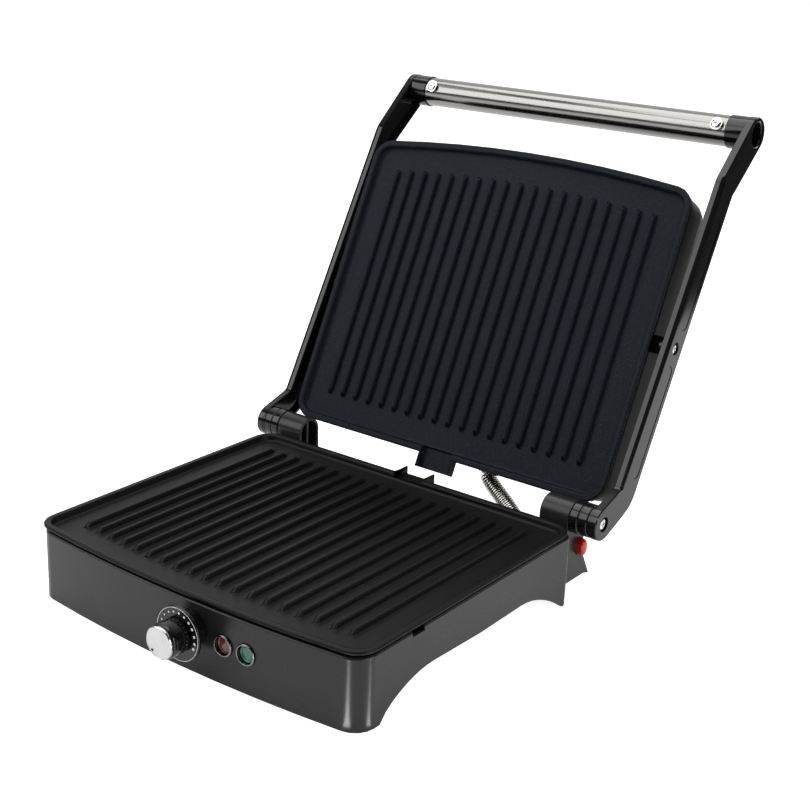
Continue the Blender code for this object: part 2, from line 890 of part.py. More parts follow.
def lamps(parent):
    radius = bow_radius(skirt_half_width, skirt_bow)
    finish_names = ("red_lens", "green_lens")
    words = ("heat", "ready")
    for x, lens_finish, word in zip(lamp_xs, finish_names, words):
        place = (x, skirt_face(x), lamp_height)
        turn = (pi / 2, asin(x / radius), 0)
        profile = [(bezel_tube, -bezel_length), (bezel_tube, fit_gap), (bezel_round, fit_gap)]
        profile += [(bezel_round, bezel_proud - bezel_edge), (bezel_round - bezel_edge, bezel_proud)]
        profile += [(bezel_bore, bezel_proud), (bezel_bore, -bezel_length)]
        add_piece("lamp_bezel_" + word, placed(turned(profile, small_round), place, turn), "chrome", parent)
        face = bezel_proud - lens_recess
        profile = [(0, face - lens_depth), (lens_round, face - lens_depth), (lens_round, face - lens_dome)]
        profile += [(lens_round / 2, face - lens_dome / 4), (0, face)]
        lens = placed(turned(profile, small_round), place, turn)
        add_piece("lamp_lens_" + word, lens, lens_finish, parent)
        back = face - lens_depth - fit_gap
        lamp = rod(lamp_round, back - lamp_length, back, small_round)
        add_piece("lamp_" + word, placed(lamp, place, turn), "ceramic", parent)


# Release button on the right tower
def release_button(parent):
    places = ((0, 0), (0, tower_outer + button_reach - button_dome - button_inner))
    places += ((button_dome, tower_outer + button_reach - button_inner),)
    rings = []
    for inset, x in places:
        outline = button_outline(-inset)
        rings.append([(x, y - button_y, z - button_height) for y, z in outline])
    add_piece("release_button", loft(rings), "red", parent)


# Cable gland and the two grommets of the spring guard
gland_flange = 0.0080
gland_sleeve = 0.0050
gland_bore = 0.0034
gland_thickness = 0.0020
gland_length = 0.0140
grommet_flange = 0.0090
grommet_sleeve = 0.0063
grommet_bore = 0.0045
grommet_socket = 0.0062
grommet_thickness = 0.0035
grommet_seat = 0.0015
grommet_tail = 0.0030


def cable_gland(parent):
    profile = [(gland_sleeve, -skirt_wall - grommet_tail), (gland_sleeve, fit_gap), (gland_flange, fit_gap)]
    profile += [(gland_flange, gland_thickness), (gland_sleeve, gland_thickness + gland_thickness)]
    profile += [(gland_sleeve, gland_length), (gland_bore, gland_length)]
    profile += [(gland_bore, -skirt_wall - grommet_tail)]
    shape = placed(turned(profile, small_round), (gland_x, skirt_rear, gland_height), to_back)
    add_piece("cable_gland", shape, "rubber", parent)


def grommet_shape(wall):
    profile = [(grommet_sleeve, -wall - grommet_tail), (grommet_sleeve, fit_gap), (grommet_flange, fit_gap)]
    edge = grommet_seat / 2
    profile += [(grommet_flange, grommet_thickness - edge), (grommet_flange - edge, grommet_thickness)]
    profile += [(grommet_socket, grommet_thickness), (grommet_socket, grommet_seat)]
    profile += [(grommet_bore, grommet_seat), (grommet_bore, -wall - grommet_tail)]
    return turned(profile, small_round)


# Hinge collars, pins and screws
pin_screw_depth = 0.0060
counterbore_round = 0.0060
counterbore_depth = 0.0033
counterbore_floor = arm_outer - counterbore_depth
pin_web = 0.0020
pin_end = counterbore_floor - pin_web
screw_head_round = 0.0043
screw_head_height = 0.0022
screw_head_edge = 0.0006
pivot_counterbore = 0.0050
pivot_counterbore_depth = 0.0035
pivot_counterbore_floor = arm_outer - pivot_counterbore_depth
pivot_boss_round = 0.0072
pivot_boss_reach = 0.0038
pivot_boss_split = shell_half_width + pivot_boss_reach
pivot_screw_reach = 0.0060
pivot_screw_inner = shell_half_width - pivot_screw_reach


def hinge_collars(parent):
    for word, side in sides:
        start = tower_outer + fit_gap
        end = hub_inner - fit_gap
        bore = pin_round + fit_gap
        profile = [(bore, start), (hub_round, start), (hub_round, end), (bore, end)]
        shape = placed(turned(profile, large_round), (0, 0, hinge_height), to_side(side))
        add_piece("hinge_collar_" + word, shape, "gloss_black", parent)


def screw_shape(shank, start, seat, head):
    top = seat + screw_head_height
    profile = [(0, start), (shank, start), (shank, seat), (head, seat), (head, top - screw_head_edge)]
    profile += [(head - screw_head_edge, top), (0, top)]
    return turned(profile, small_round)


def hinge_pins(parent):
    for word, side in sides:
        turn = to_side(side)
        hole = pin_screw_round + fit_gap
        start = pin_bore_end + fit_gap
        depth = pin_end - pin_screw_depth
        profile = [(0, start), (pin_round, start), (pin_round, pin_end)]
        profile += [(hole, pin_end), (hole, depth), (0, depth)]
        pin = placed(turned(profile, small_round), (0, 0, 0), turn)
        add_piece("hinge_pin_" + word, pin, "steel", parent)
        screw = screw_shape(pin_screw_round, depth + fit_gap, counterbore_floor + fit_gap, screw_head_round)
        add_piece("hinge_screw_" + word, placed(screw, (0, 0, 0), turn), "chrome", parent)


# Arms
arm_edge = 0.0007
arm_pocket_depth = 0.0040
arm_pocket_wall = 0.0025
front_bend_s = 0.0305
front_bend_round = 0.0050
rear_bend_s = 0.0216
rear_bend_round = 0.0280
upper_front_bend_lead = 0.0502
upper_front_bend_s = arm_end_s - upper_front_bend_lead
upper_rear_bend_lead = 0.0542
upper_rear_bend_s = arm_end_s - upper_rear_bend_lead
upper_bend_round = 0.0180
hub_boss_round = 0.0126
collar_round = 0.0134
spigot_round = 0.0110
spigot_bore = 0.0097
spigot_length = 0.0180
arm_rib = 0.0016
arm_rib_start = 0.0420
arm_rib_lead = 0.0612
arm_rib_end = arm_end_s - arm_rib_lead
arm_rib_stop = 0.0100
trim_t = 0.0240
trim_half_width = 0.0060
trim_recess = 0.0015
trim_start = 0.0410
trim_pivot_gap = 0.0137
trim_half_length = (pivot_s - trim_pivot_gap - trim_start) / 2
lower_trim_s = trim_start + trim_half_length
upper_trim_s = pivot_s + trim_pivot_gap + trim_recess + trim_half_length
trim_thickness = 0.0008
handle_screw_lead = 0.0080
handle_screw_x = tube_half_length - handle_screw_lead
handle_screw_round = 0.0020
handle_screw_head = 0.0056
handle_screw_dome = 0.0026


def arm_outline():
    hub = (0, 0)
    end = (arm_end_s, arm_end_t)
    front_low = (front_bend_s, arm_front_t)
    front_high = (upper_front_bend_s, arm_front_t)
    rear_high = (upper_rear_bend_s, arm_rear_t)
    rear_low = (rear_bend_s, arm_rear_t)
    hub_front = touching(front_low, hub, hub_round, 1)
    hub_rear = touching(rear_low, hub, hub_round, -1)
    end_front = touching(front_high, end, arm_end_round, -1)
    end_rear = touching(rear_high, end, arm_end_round, 1)
    outline = fillet(hub_front, front_low, front_high, front_bend_round, 3)
    outline += fillet(front_low, front_high, end_front, upper_bend_round, 3)
    first = atan2(end_front[1] - end[1], end_front[0] - end[0])
    last = atan2(end_rear[1] - end[1], end_rear[0] - end[0])
    outline += arc(end, arm_end_round, first, last, 12)
    outline += fillet(end_rear, rear_high, rear_low, upper_bend_round, 3)
    outline += fillet(rear_high, rear_low, hub_rear, rear_bend_round, 5)
    first = atan2(hub_rear[1], hub_rear[0])
    last = atan2(hub_front[1], hub_front[0]) + 2 * pi
    outline += arc(hub, hub_round, first, last, 14)
    return outline


# Arm outlines turn into the arm's own space: S runs to the front, T runs up
def arm_slab(outline, low, high, side):
    return slab([(-s, t) for s, t in outline], side * low, side * high)


def stadium(s, half_length, half_width):
    outline = rounded_rectangle(half_length, half_width, half_width, 5)
    return [(s + along, trim_t + across) for along, across in outline]


def arm(word, side, parent):
    outline = arm_outline()
    places = ((arm_edge, arm_inner), (0, arm_inner + arm_edge))
    places += ((0, arm_outer - arm_edge), (arm_edge, arm_outer))
    rings = []
    for inset, x in places:
        ring = outline if inset == 0 else inset_outline(outline, inset)
        rings.append([(side * x, -s, t) for s, t in ring])
    item = add_piece("arm_" + word, loft(rings), "gloss_black", parent)
    pocket_end = arm_inner + arm_pocket_depth
    pocket = inset_outline(outline, arm_pocket_wall)
    cut(item, "pocket", arm_slab(pocket, arm_inner - overrun, pocket_end, side))
    turn = to_side(side)
    hub = rod(hub_boss_round, hub_inner, pocket_end + arm_edge, large_round)
    pivot = rod(pivot_boss_round, pivot_boss_split + fit_gap, pocket_end + arm_edge, small_round)
    start = tube_half_length - spigot_length
    socket = [(0, start), (spigot_round, start), (spigot_round, tube_half_length)]
    socket += [(collar_round, tube_half_length), (collar_round, pocket_end + arm_edge)]
    socket.append((0, pocket_end + arm_edge))
    ribs = []
    half = arm_rib / 2
    for low, high in ((arm_rib_start, pivot_s - arm_rib_stop), (pivot_s + arm_rib_stop, arm_rib_end)):
        line = [(low, trim_t - half), (high, trim_t - half), (high, trim_t + half), (low, trim_t + half)]
        ribs.append(arm_slab(line, arm_inner + arm_rib, pocket_end + arm_edge, side))
    add(item, "bosses", placed(hub, (0, 0, 0), turn), placed(pivot, (0, -pivot_s, pivot_t), turn),
        placed(turned(socket, large_round), (0, -arm_end_s, arm_end_t), turn), *ribs)
    bore = pin_round + fit_gap
    hole = pin_screw_round + fit_gap
    beyond = arm_outer + overrun
    inner = hub_inner - overrun
    pin_floor = pin_end + fit_gap
    hub_hole = [(0, inner), (bore, inner), (bore, pin_floor), (hole, pin_floor), (hole, counterbore_floor)]
    hub_hole += [(counterbore_round, counterbore_floor), (counterbore_round, beyond), (0, beyond)]
    hole = pivot_screw_round + fit_gap
    inner = pivot_boss_split - overrun
    pivot_hole = [(0, inner), (hole, inner), (hole, pivot_counterbore_floor)]
    pivot_hole += [(pivot_counterbore, pivot_counterbore_floor), (pivot_counterbore, beyond), (0, beyond)]
    socket_hole = rod(spigot_bore, start - overrun, beyond, small_round)
    recess_floor = arm_outer - trim_recess
    outlines = [stadium(s, trim_half_length, trim_half_width) for s in (lower_trim_s, upper_trim_s)]
    recesses = [arm_slab(outline, recess_floor, beyond, side) for outline in outlines]
    cut(item, "holes", placed(turned(hub_hole, small_round), (0, 0, 0), turn),
        placed(turned(pivot_hole, small_round), (0, -pivot_s, pivot_t), turn),
        placed(socket_hole, (0, -arm_end_s, arm_end_t), turn), *recesses)
    hole = rod(handle_screw_round + fit_gap, -tube_round - overrun, 0, small_round)
    cut(item, "screw_hole", placed(hole, (side * handle_screw_x, -arm_end_s, arm_end_t)))
    for level, s in (("lower", lower_trim_s), ("upper", upper_trim_s)):
        outline = stadium(s, trim_half_length - fit_gap, trim_half_width - fit_gap)
        low = arm_outer - trim_recess + fit_gap
        trim = arm_slab(outline, low, low + trim_thickness, side)
        add_piece("arm_trim_" + level + "_" + word, trim, "gloss_black", parent)


def handle(parent):
    half = tube_half_length - fit_gap
    profile = [(tube_round, -half), (tube_round, half), (tube_bore, half), (tube_bore, -half)]
    place = (0, -arm_end_s, arm_end_t)
    tube = placed(turned(profile, large_round), place, to_side(1))
    item = add_piece("handle_tube", tube, "steel", parent)
    drill = rod(handle_screw_round + fit_gap, -tube_round - overrun, 0, small_round)
    places = [(side * handle_screw_x, -arm_end_s, arm_end_t) for word, side in sides]
    cut(item, "screw_holes", *[placed(drill, place) for place in places])
    seat = tube_round + fit_gap
    inner = spigot_bore - overrun
    edge = handle_screw_dome / 3
    profile = [(0, inner), (handle_screw_round, inner), (handle_screw_round, seat)]
    profile += [(handle_screw_head, seat), (handle_screw_head, seat + edge)]
    profile += [(handle_screw_head / 2, seat + handle_screw_dome - edge / 2), (0, seat + handle_screw_dome)]
    for (word, side), place in zip(sides, places):
        screw = placed(turned(profile, small_round), place, (pi, 0, 0))
        add_piece("handle_screw_" + word, screw, "chrome", parent)


# Lid housing, drawn with the grill closed and then moved to the space of the pivot
frame_inset = 0.0010
frame_lip_inset = 0.0020
frame_inner = 0.0034
frame_drop = 0.0050
frame_under = upper_rim_height + frame_drop
frame_lip_under = upper_rim_height + rim_thickness + fit_gap
frame_lip_rise = 0.0008
shell_side_rise = 0.0207
shell_side_height = shell_under + shell_side_rise
shell_side_draft = 0.0006
shell_edge_inset = 0.0025
shell_edge_rise = 0.0292
shell_edge_height = shell_under + shell_edge_rise
shell_roof_inset = 0.0070
shell_roof_rise = 0.0342
shell_roof_height = shell_under + shell_roof_rise
shell_top_inset = 0.0130
pivot_boss_depth = 0.0040
pivot_boss_inner = shell_half_width - pivot_boss_depth


def closed(shape):
    return placed(shape, (0, -pivot_y, -pivot_z))


def upper_spout_notch(front):
    half = upper_spout_half_width + spout_clearance
    high = upper_floor_back + spout_sink + spout_clearance
    return block((-half, front, upper_rim_height), (half, plate_rear + overrun, high))


def lid_frame(parent):
    top = shell_under - fit_gap
    steps = ((frame_inset, frame_under), (frame_inset, top), (frame_inner, top))
    steps += ((frame_inner, frame_lip_under + frame_lip_rise), (frame_lip_inset, frame_lip_under))
    steps += ((frame_lip_inset, frame_under),)
    rings = [plate_ring(inset, height) for inset, height in steps]
    item = add_piece("lid_frame", closed(loft(rings, closed=True)), "gloss_black", parent)
    cut(item, "spout_notch", closed(upper_spout_notch(plate_rear - frame_inner - overrun)))


def lid_housing(parent):
    outer = [(0, shell_under), (shell_side_draft, shell_side_height), (shell_edge_inset, shell_edge_height)]
    outer += [(shell_roof_inset, shell_roof_height), (shell_top_inset, shell_top)]
    inner = [(shell_top_inset, shell_top - shell_wall), (shell_roof_inset, shell_roof_height - shell_wall)]
    inner += [(shell_edge_inset + shell_wall, shell_edge_height - shell_wall), (shell_wall, shell_under)]
    rings = [shell_ring(inset, height) for inset, height in inner + outer]
    item = add_piece("lid_housing", closed(loft(rings)), "gloss_black", parent)
    bosses = []
    holes = []
    for word, side in sides:
        boss = rod(pivot_boss_round, pivot_boss_inner, pivot_boss_split, small_round)
        bore = pivot_screw_round + fit_gap
        hole = rod(bore, pivot_boss_inner - overrun, pivot_boss_split + overrun, small_round)
        bosses.append(placed(boss, (0, 0, 0), to_side(side)))
        holes.append(placed(hole, (0, 0, 0), to_side(side)))
    guard = rod(guard_hole, -shell_wall - grommet_tail - overrun, overrun, small_round)
    holes.append(closed(placed(guard, (guard_lid_x, shell_rear, guard_lid_height), to_back)))
    holes.append(closed(upper_spout_notch(shell_rear - shell_wall - overrun)))
    add(item, "pivot_bosses", *bosses)
    cut(item, "holes", *holes)


def pivot_screws(parent):
    for word, side in sides:
        seat = pivot_counterbore_floor + fit_gap
        screw = screw_shape(pivot_screw_round, pivot_screw_inner, seat, screw_head_round)
        add_piece("pivot_screw_" + word, placed(screw, (0, 0, 0), to_side(side)), "chrome", parent)


# Spring guard between base and lid
guard_core_round = 0.0037
guard_base_reach = 0.0510
guard_lid_reach = 0.0270
guard_lead = 0.0030
guard_curl_points = 8


# The matrix from the lid's closed space to the space of the base, with the lid at rest
def lid_matrix(lid):
    matrix = Matrix.Identity(4)
    while lid.parent:
        matrix = lid.matrix_basis @ matrix
        lid = lid.parent
    return matrix @ Matrix.Translation((0, -pivot_y, -pivot_z))


def guard_route(lid):
    seat = grommet_seat + fit_gap
    matrix = lid_matrix(lid)
    start = Vector((guard_base_x, skirt_rear + seat, guard_base_height))
    end = Vector((guard_lid_x, shell_rear + seat, guard_lid_height))
    back = Vector((0, 1, 0))
    first = start + back * guard_lead
    last = matrix @ (end + back * guard_lead)
    bend_first = first + back * guard_base_reach
    bend_last = matrix @ (end + back * (guard_lead + guard_lid_reach))
    route = [start]
    steps = 60
    for step in range(steps + 1):
        share = step / steps
        rest = 1 - share
        point = first * rest ** 3 + bend_first * 3 * rest ** 2 * share
        route.append(point + bend_last * 3 * rest * share ** 2 + last * share ** 3)
    route.append(matrix @ end)
    return route


def route_length(route):
    return sum((after - before).length for before, after in zip(route, route[1:]))


def point_along(route, distance):
    for before, after in zip(route, route[1:]):
        step = (after - before).length
        if distance <= step:
            return before.lerp(after, max(0, distance) / step)
        distance -= step
    return route[-1].copy()


def coil_points(route):
    radius = guard_outer_round - guard_wire_round
    straight = 2 * guard_wire_round
    length = route_length(route) - 2 * straight
    curls = round(length / guard_pitch)
    count = curls * guard_curl_points
    points = []
    side = Vector((1, 0, 0))
    for index in range(count + 1):
        distance = straight + length * index / count
        near = point_along(route, distance - guard_wire_round)
        ahead = (point_along(route, distance + guard_wire_round) - near).normalized()
        side = (side - ahead * side.dot(ahead)).normalized()
        angle = 2 * pi * index / guard_curl_points
        outwards = side * cos(angle) + ahead.cross(side) * sin(angle)
        points.append(point_along(route, distance) + outwards * radius)
    start_way = (route[1] - route[0]).normalized()
    end_way = (route[-1] - route[-2]).normalized()
    return [points[0] - start_way * straight] + points + [points[-1] + end_way * straight], curls


def least_gap(points):
    gaps = []
    for index, point in enumerate(points):
        others = points[index + guard_curl_points // 2:index + 2 * guard_curl_points]
        gaps += [(point - other).length - 2 * guard_wire_round for other in others]
    return min(gaps)


def spring_guard(base, lid):
    route = guard_route(lid)
    points, curls = coil_points(route)
    add_tube("spring_guard", points, guard_wire_round, 1, "steel", base)
    length = route_length(route)
    print("spring guard curls", curls, "length", round(length, 4), "least gap", round(least_gap(points), 5))
    count = 24
    places = [point_along(route, length * index / count) for index in range(count + 1)]
    add_tube("guard_core", places, guard_core_round, 2, "rubber", base)


def build():
    clear_scene()
    origin = add_empty("grill_origin", None, (0, frame_shift, 0))
    arms = add_empty("hinge_line", origin, (0, 0, hinge_height), arm_turn)
    lid = add_empty("lid_pivot", arms, (0, -pivot_s, pivot_t), float_at_rest - arm_slope)
    knob = add_empty("knob_axis", origin, (dial_x, skirt_front, dial_height))
    button = add_empty("button_seat", origin, (button_inner, button_y, button_height))
    plate_seat = add_empty("plate_seat", origin, (0, seat_y, seat_z), plate_tilt)
    plate_space = add_empty("level_plate_space", plate_seat, (0, -pivot_y, -pivot_z))
    base_housing(origin)
    bottom_cover(origin)
    feet(origin)
    cooking_plate("lower_plate", lower_rim_height, 1, lower_spout_half_width, lower_spout_length,
                  lower_spout_proud, plate_space)
    heater("lower_heater", lower_floor_under, 1, plate_space)
    reflector("lower_reflector", lower_floor_under, 1, plate_space)
    thermostat(origin)
    dial_plate(origin)
    lamps(origin)
    knob_pieces(knob)
    release_button(button)
    cable_gland(origin)
    grommet = placed(grommet_shape(skirt_wall), (guard_base_x, skirt_rear, guard_base_height), to_back)
    add_piece("guard_grommet_base", grommet, "matte_black", origin)
    hinge_collars(origin)
    hinge_pins(arms)
    for word, side in sides:
        arm(word, side, arms)
    handle(arms)
    closed_space = add_empty("closed_lid_space", lid, (0, -pivot_y, -pivot_z))
    cooking_plate("upper_plate", upper_rim_height, -1, upper_spout_half_width, upper_spout_length,
                  0, closed_space)
    heater("upper_heater", upper_floor_back, -1, closed_space)
    reflector("upper_reflector", upper_floor_back, -1, closed_space)
    lid_frame(lid)
    lid_housing(lid)
    pivot_screws(lid)
    grommet = placed(grommet_shape(shell_wall), (guard_lid_x, shell_rear, guard_lid_height), to_back)
    add_piece("guard_grommet_lid", closed(grommet), "matte_black", lid)
    spring_guard(origin, lid)
    bpy.context.view_layer.update()
    for empty in (origin, arms, lid, knob, button):
        print(empty.name, [round(value, 6) for value in empty.matrix_world.translation])


build()
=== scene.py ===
from math import cos, pi, radians, sin
import bmesh
import bpy
from mathutils import Matrix, Vector
from mathutils.bvhtree import BVHTree


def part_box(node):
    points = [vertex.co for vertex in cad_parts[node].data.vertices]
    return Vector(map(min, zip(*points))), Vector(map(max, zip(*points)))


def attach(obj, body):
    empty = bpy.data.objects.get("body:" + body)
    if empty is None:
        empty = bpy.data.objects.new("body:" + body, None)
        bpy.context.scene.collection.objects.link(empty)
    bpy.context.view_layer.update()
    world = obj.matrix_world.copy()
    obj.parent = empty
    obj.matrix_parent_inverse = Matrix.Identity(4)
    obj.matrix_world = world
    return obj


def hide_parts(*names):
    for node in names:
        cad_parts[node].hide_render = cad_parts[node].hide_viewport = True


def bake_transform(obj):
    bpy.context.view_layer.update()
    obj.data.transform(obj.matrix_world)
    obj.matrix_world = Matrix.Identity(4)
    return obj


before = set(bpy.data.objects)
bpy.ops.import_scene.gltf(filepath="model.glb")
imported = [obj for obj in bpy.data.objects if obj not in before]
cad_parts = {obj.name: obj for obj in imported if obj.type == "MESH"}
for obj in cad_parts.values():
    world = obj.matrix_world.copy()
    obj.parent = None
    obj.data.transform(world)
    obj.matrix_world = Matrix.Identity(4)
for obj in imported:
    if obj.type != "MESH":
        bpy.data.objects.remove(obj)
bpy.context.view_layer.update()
print("frame loaded")

# small helpers
meshCare = {"merge": 0.000004, "offSkin": 0.45}


def deselectAll():
    if bpy.context.mode != "OBJECT":
        bpy.ops.object.mode_set(mode="OBJECT")
    bpy.ops.object.select_all(action="DESELECT")


def pick(piece):
    deselectAll()
    piece.select_set(True)
    bpy.context.view_layer.objects.active = piece


def applyAll(piece):
    pick(piece)
    for modifier in list(piece.modifiers):
        bpy.ops.object.modifier_apply(modifier=modifier.name)


def smoothShade(piece, angle, weighted=True):
    pick(piece)
    bpy.ops.object.shade_smooth_by_angle(angle=radians(angle))
    if weighted:
        modifier = piece.modifiers.new("evenNormals", "WEIGHTED_NORMAL")
        modifier.keep_sharp = True
        applyAll(piece)


def weighEdges(piece, weigh):
    # bevel weights, from a rule that gives 0 to 1 for an edge
    work = bmesh.new()
    work.from_mesh(piece.data)
    weights = work.edges.layers.float.new("bevel_weight_edge")
    for edge in work.edges:
        edge[weights] = weigh(edge)
    work.to_mesh(piece.data)
    work.free()


def addBevel(piece, width, segments, method):
    modifier = piece.modifiers.new("softEdges", "BEVEL")
    modifier.width = width
    modifier.segments = segments
    modifier.limit_method = method
    modifier.use_clamp_overlap = False
    modifier.miter_outer = "MITER_SHARP"
    return modifier


def bevelEdges(piece, width, segments, angle, above=None):
    least = radians(angle)
    skin = BVHTree.FromPolygons([v.co.copy() for v in piece.data.vertices],
                                [list(face.vertices) for face in piece.data.polygons])

    def sharpAbove(edge):
        sharp = len(edge.link_faces) == 2 and edge.calc_face_angle(0) > least
        return 1.0 if sharp and min(v.co.z for v in edge.verts) > above else 0.0

    if above is not None:  # edges under this height stay sharp
        weighEdges(piece, sharpAbove)
    modifier = addBevel(piece, width, segments, "ANGLE" if above is None else "WEIGHT")
    modifier.angle_limit = least
    applyAll(piece)
    for vertex in piece.data.vertices:  # a corner thrown off the solid goes back to its skin
        spot, normal, _, far = skin.find_nearest(vertex.co)
        if far > width * meshCare["offSkin"] and (vertex.co - spot).dot(normal) > 0:
            vertex.co = spot


def copyNode(nodeName, pieceName, flat=0.4):
    piece = bpy.data.objects.new(pieceName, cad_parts[nodeName].data.copy())
    bpy.context.scene.collection.objects.link(piece)
    piece.data.materials.clear()
    pick(piece)
    bpy.ops.mesh.customdata_custom_splitnormals_clear()
    bpy.ops.object.mode_set(mode="EDIT")
    bpy.ops.mesh.select_all(action="SELECT")
    bpy.ops.mesh.remove_doubles(threshold=meshCare["merge"])
    bpy.ops.mesh.dissolve_limited(angle_limit=radians(flat))
    bpy.ops.mesh.normals_make_consistent(inside=False)
    bpy.ops.object.mode_set(mode="OBJECT")
    return piece


def coverWith(piece, material):
    piece.data.materials.clear()
    piece.data.materials.append(material)


def finishPiece(piece, material, body, slot, *nodes):
    coverWith(piece, material)
    if body:
        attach(piece, body)
    if nodes:
        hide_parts(*nodes)


def boxOf(nodeName):
    low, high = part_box(nodeName)
    return low, high, (low + high) / 2


def stepped(radius, base, steps):
    # profile points from (share of the radius, height over the base)
    return [(radius * share, base + rise) for share, rise in steps]


def turnPiece(name, profile, count):
    # rings of one circle, pushed up and scaled step by step, closed at both ends
    deselectAll()
    bpy.ops.mesh.primitive_circle_add(vertices=count, radius=profile[0][0], fill_type="NGON",
                                      location=(0, 0, 0))
    piece = bpy.context.active_object
    piece.name = name
    bpy.ops.object.mode_set(mode="EDIT")
    bpy.ops.mesh.select_all(action="SELECT")
    bpy.ops.transform.translate(value=(0, 0, profile[0][1]))
    for (radius, height), (nextRadius, nextHeight) in zip(profile, profile[1:]):
        share = nextRadius / radius
        rise = (0, 0, nextHeight - height)
        bpy.ops.mesh.extrude_region_move(TRANSFORM_OT_translate={"value": rise})
        bpy.ops.transform.resize(value=(share, share, 1), center_override=(0, 0, nextHeight))
    bpy.ops.mesh.select_all(action="SELECT")
    bpy.ops.mesh.normals_make_consistent(inside=False)
    bpy.ops.object.mode_set(mode="OBJECT")
    return piece


def place(piece, spot, turn):
    # the piece is drawn along Z at the origin, then turned and moved for good
    pick(piece)
    piece.data.transform(turn)
    piece.data.transform(Matrix.Translation(Vector(spot)))
    piece.data.update()


def joinPieces(name, pieces):
    deselectAll()
    for piece in pieces:
        piece.select_set(True)
    bpy.context.view_layer.objects.active = pieces[0]
    bpy.ops.object.join()
    pieces[0].name = name
    return pieces[0]


toFront = Matrix.Rotation(radians(90), 4, "X")  # +Z goes to -Y
toRight = Matrix.Rotation(radians(90), 4, "Y")  # +Z goes to +X
toLeft = Matrix.Rotation(radians(-90), 4, "Y")
sides = (("left", -1, toLeft), ("right", 1, toRight))


# finishes, with the values of any finish whose look says nothing else
plainFinish = {
    "roughness": 0.4, "change": 0.05, "patchScale": 14.0, "metallic": 0.0, "specular": 0.5, "ior": 1.5,
    "coat": 0.0, "coatRoughness": 0.1, "transmission": 0.0, "drift": 0.08, "mottle": 0.06,
    "driftScale": 9.0, "grain": 2600.0, "pits": 0.35, "lines": 0.0, "stretch": 0.012,
    "speckle": 0.0, "flecks": 0.5, "bump": 0.2, "depth": 0.0001,
}


def newGroup(name, inputs, outputs):
    group = bpy.data.node_groups.new(name, "ShaderNodeTree")
    for label, value in inputs:
        kind = "NodeSocketColor" if isinstance(value, tuple) else "NodeSocketFloat"
        socket = group.interface.new_socket(label, in_out="INPUT", socket_type=kind)
        socket.default_value = value
    for label, kind in outputs:
        group.interface.new_socket(label, in_out="OUTPUT", socket_type=kind)
    start = group.nodes.new("NodeGroupInput")
    end = group.nodes.new("NodeGroupOutput")
    return group, start, end


def addNode(tree, kind, **settings):
    node = tree.nodes.new(kind)
    for label, value in settings.items():
        setattr(node, label, value)
    return node


def feed(tree, value, socket):
    # a plain value is set, the output of a node is linked
    if isinstance(value, (int, float, tuple)):
        socket.default_value = value
    else:
        tree.links.new(value, socket)


def setInputs(node, values):
    for label, value in values.items():
        node.inputs[label].default_value = value


def addNoise(tree, vector, scale, detail, roughness=0.5):
    noise = addNode(tree, "ShaderNodeTexNoise")
    setInputs(noise, {"Detail": detail, "Roughness": roughness})
    tree.links.new(scale, noise.inputs["Scale"])
    tree.links.new(vector, noise.inputs["Vector"])
    return noise.outputs["Fac"]


def addMath(tree, operation, first, second, clamp=False):
    node = addNode(tree, "ShaderNodeMath", operation=operation, use_clamp=clamp)
    feed(tree, first, node.inputs[0])
    feed(tree, second, node.inputs[1])
    return node.outputs[0]


def spread(tree, value, low, high):
    # a value of 0 to 1 onto another range
    node = addNode(tree, "ShaderNodeMapRange")
    tree.links.new(value, node.inputs["Value"])
    setInputs(node, {"To Min": low, "To Max": high})
    return node.outputs["Result"]


def mixColours(tree, share, first, second):
    node = addNode(tree, "ShaderNodeMix", data_type="RGBA", blend_type="MIX")
    for index, value in ((0, share), (6, first), (7, second)):
        feed(tree, value, node.inputs[index])
    return node.outputs[2]


grainShape = {"detail": 2.0, "fineRoughness": 0.6, "coarseScale": 0.3}


def makeMouldGrain():
    # fine even grain of a spark-eroded mould, as a height
    shape = grainShape
    group, start, end = newGroup(
        "mouldGrain", [("Scale", plainFinish["grain"]), ("Pits", plainFinish["pits"])],
        [("Height", "NodeSocketFloat")])
    spot = addNode(group, "ShaderNodeTexCoord").outputs["Object"]
    scale = start.outputs["Scale"]
    fine = addNoise(group, spot, scale, shape["detail"], shape["fineRoughness"])
    coarse = addNoise(group, spot, addMath(group, "MULTIPLY", scale, shape["coarseScale"]),
                      shape["detail"])
    mixed = addMath(group, "ADD", fine, addMath(group, "MULTIPLY", coarse, start.outputs["Pits"]))
    group.links.new(mixed, end.inputs["Height"])
    return group


sheenShape = {"detail": 5.0, "roughness": 0.62}


def makeHandledSheen():
    # faint wiped patches, as a roughness round a middle value
    group, start, end = newGroup(
        "handledSheen", [("Roughness", plainFinish["roughness"]), ("Change", plainFinish["change"]),
                         ("Scale", plainFinish["patchScale"])], [("Roughness", "NodeSocketFloat")])
    spot = addNode(group, "ShaderNodeTexCoord").outputs["Object"]
    patches = addNoise(group, spot, start.outputs["Scale"], sheenShape["detail"],
                       sheenShape["roughness"])
    change = addMath(group, "MULTIPLY", spread(group, patches, -1.0, 1.0), start.outputs["Change"])
    value = addMath(group, "ADD", start.outputs["Roughness"], change, clamp=True)
    group.links.new(value, end.inputs["Roughness"])
    return group


toneShape = {"grey": (0.5, 0.5, 0.5, 1.0), "slowDetail": 4.0, "fineScale": 90.0, "fineDetail": 2.0,
             "fineRoughness": 0.7}


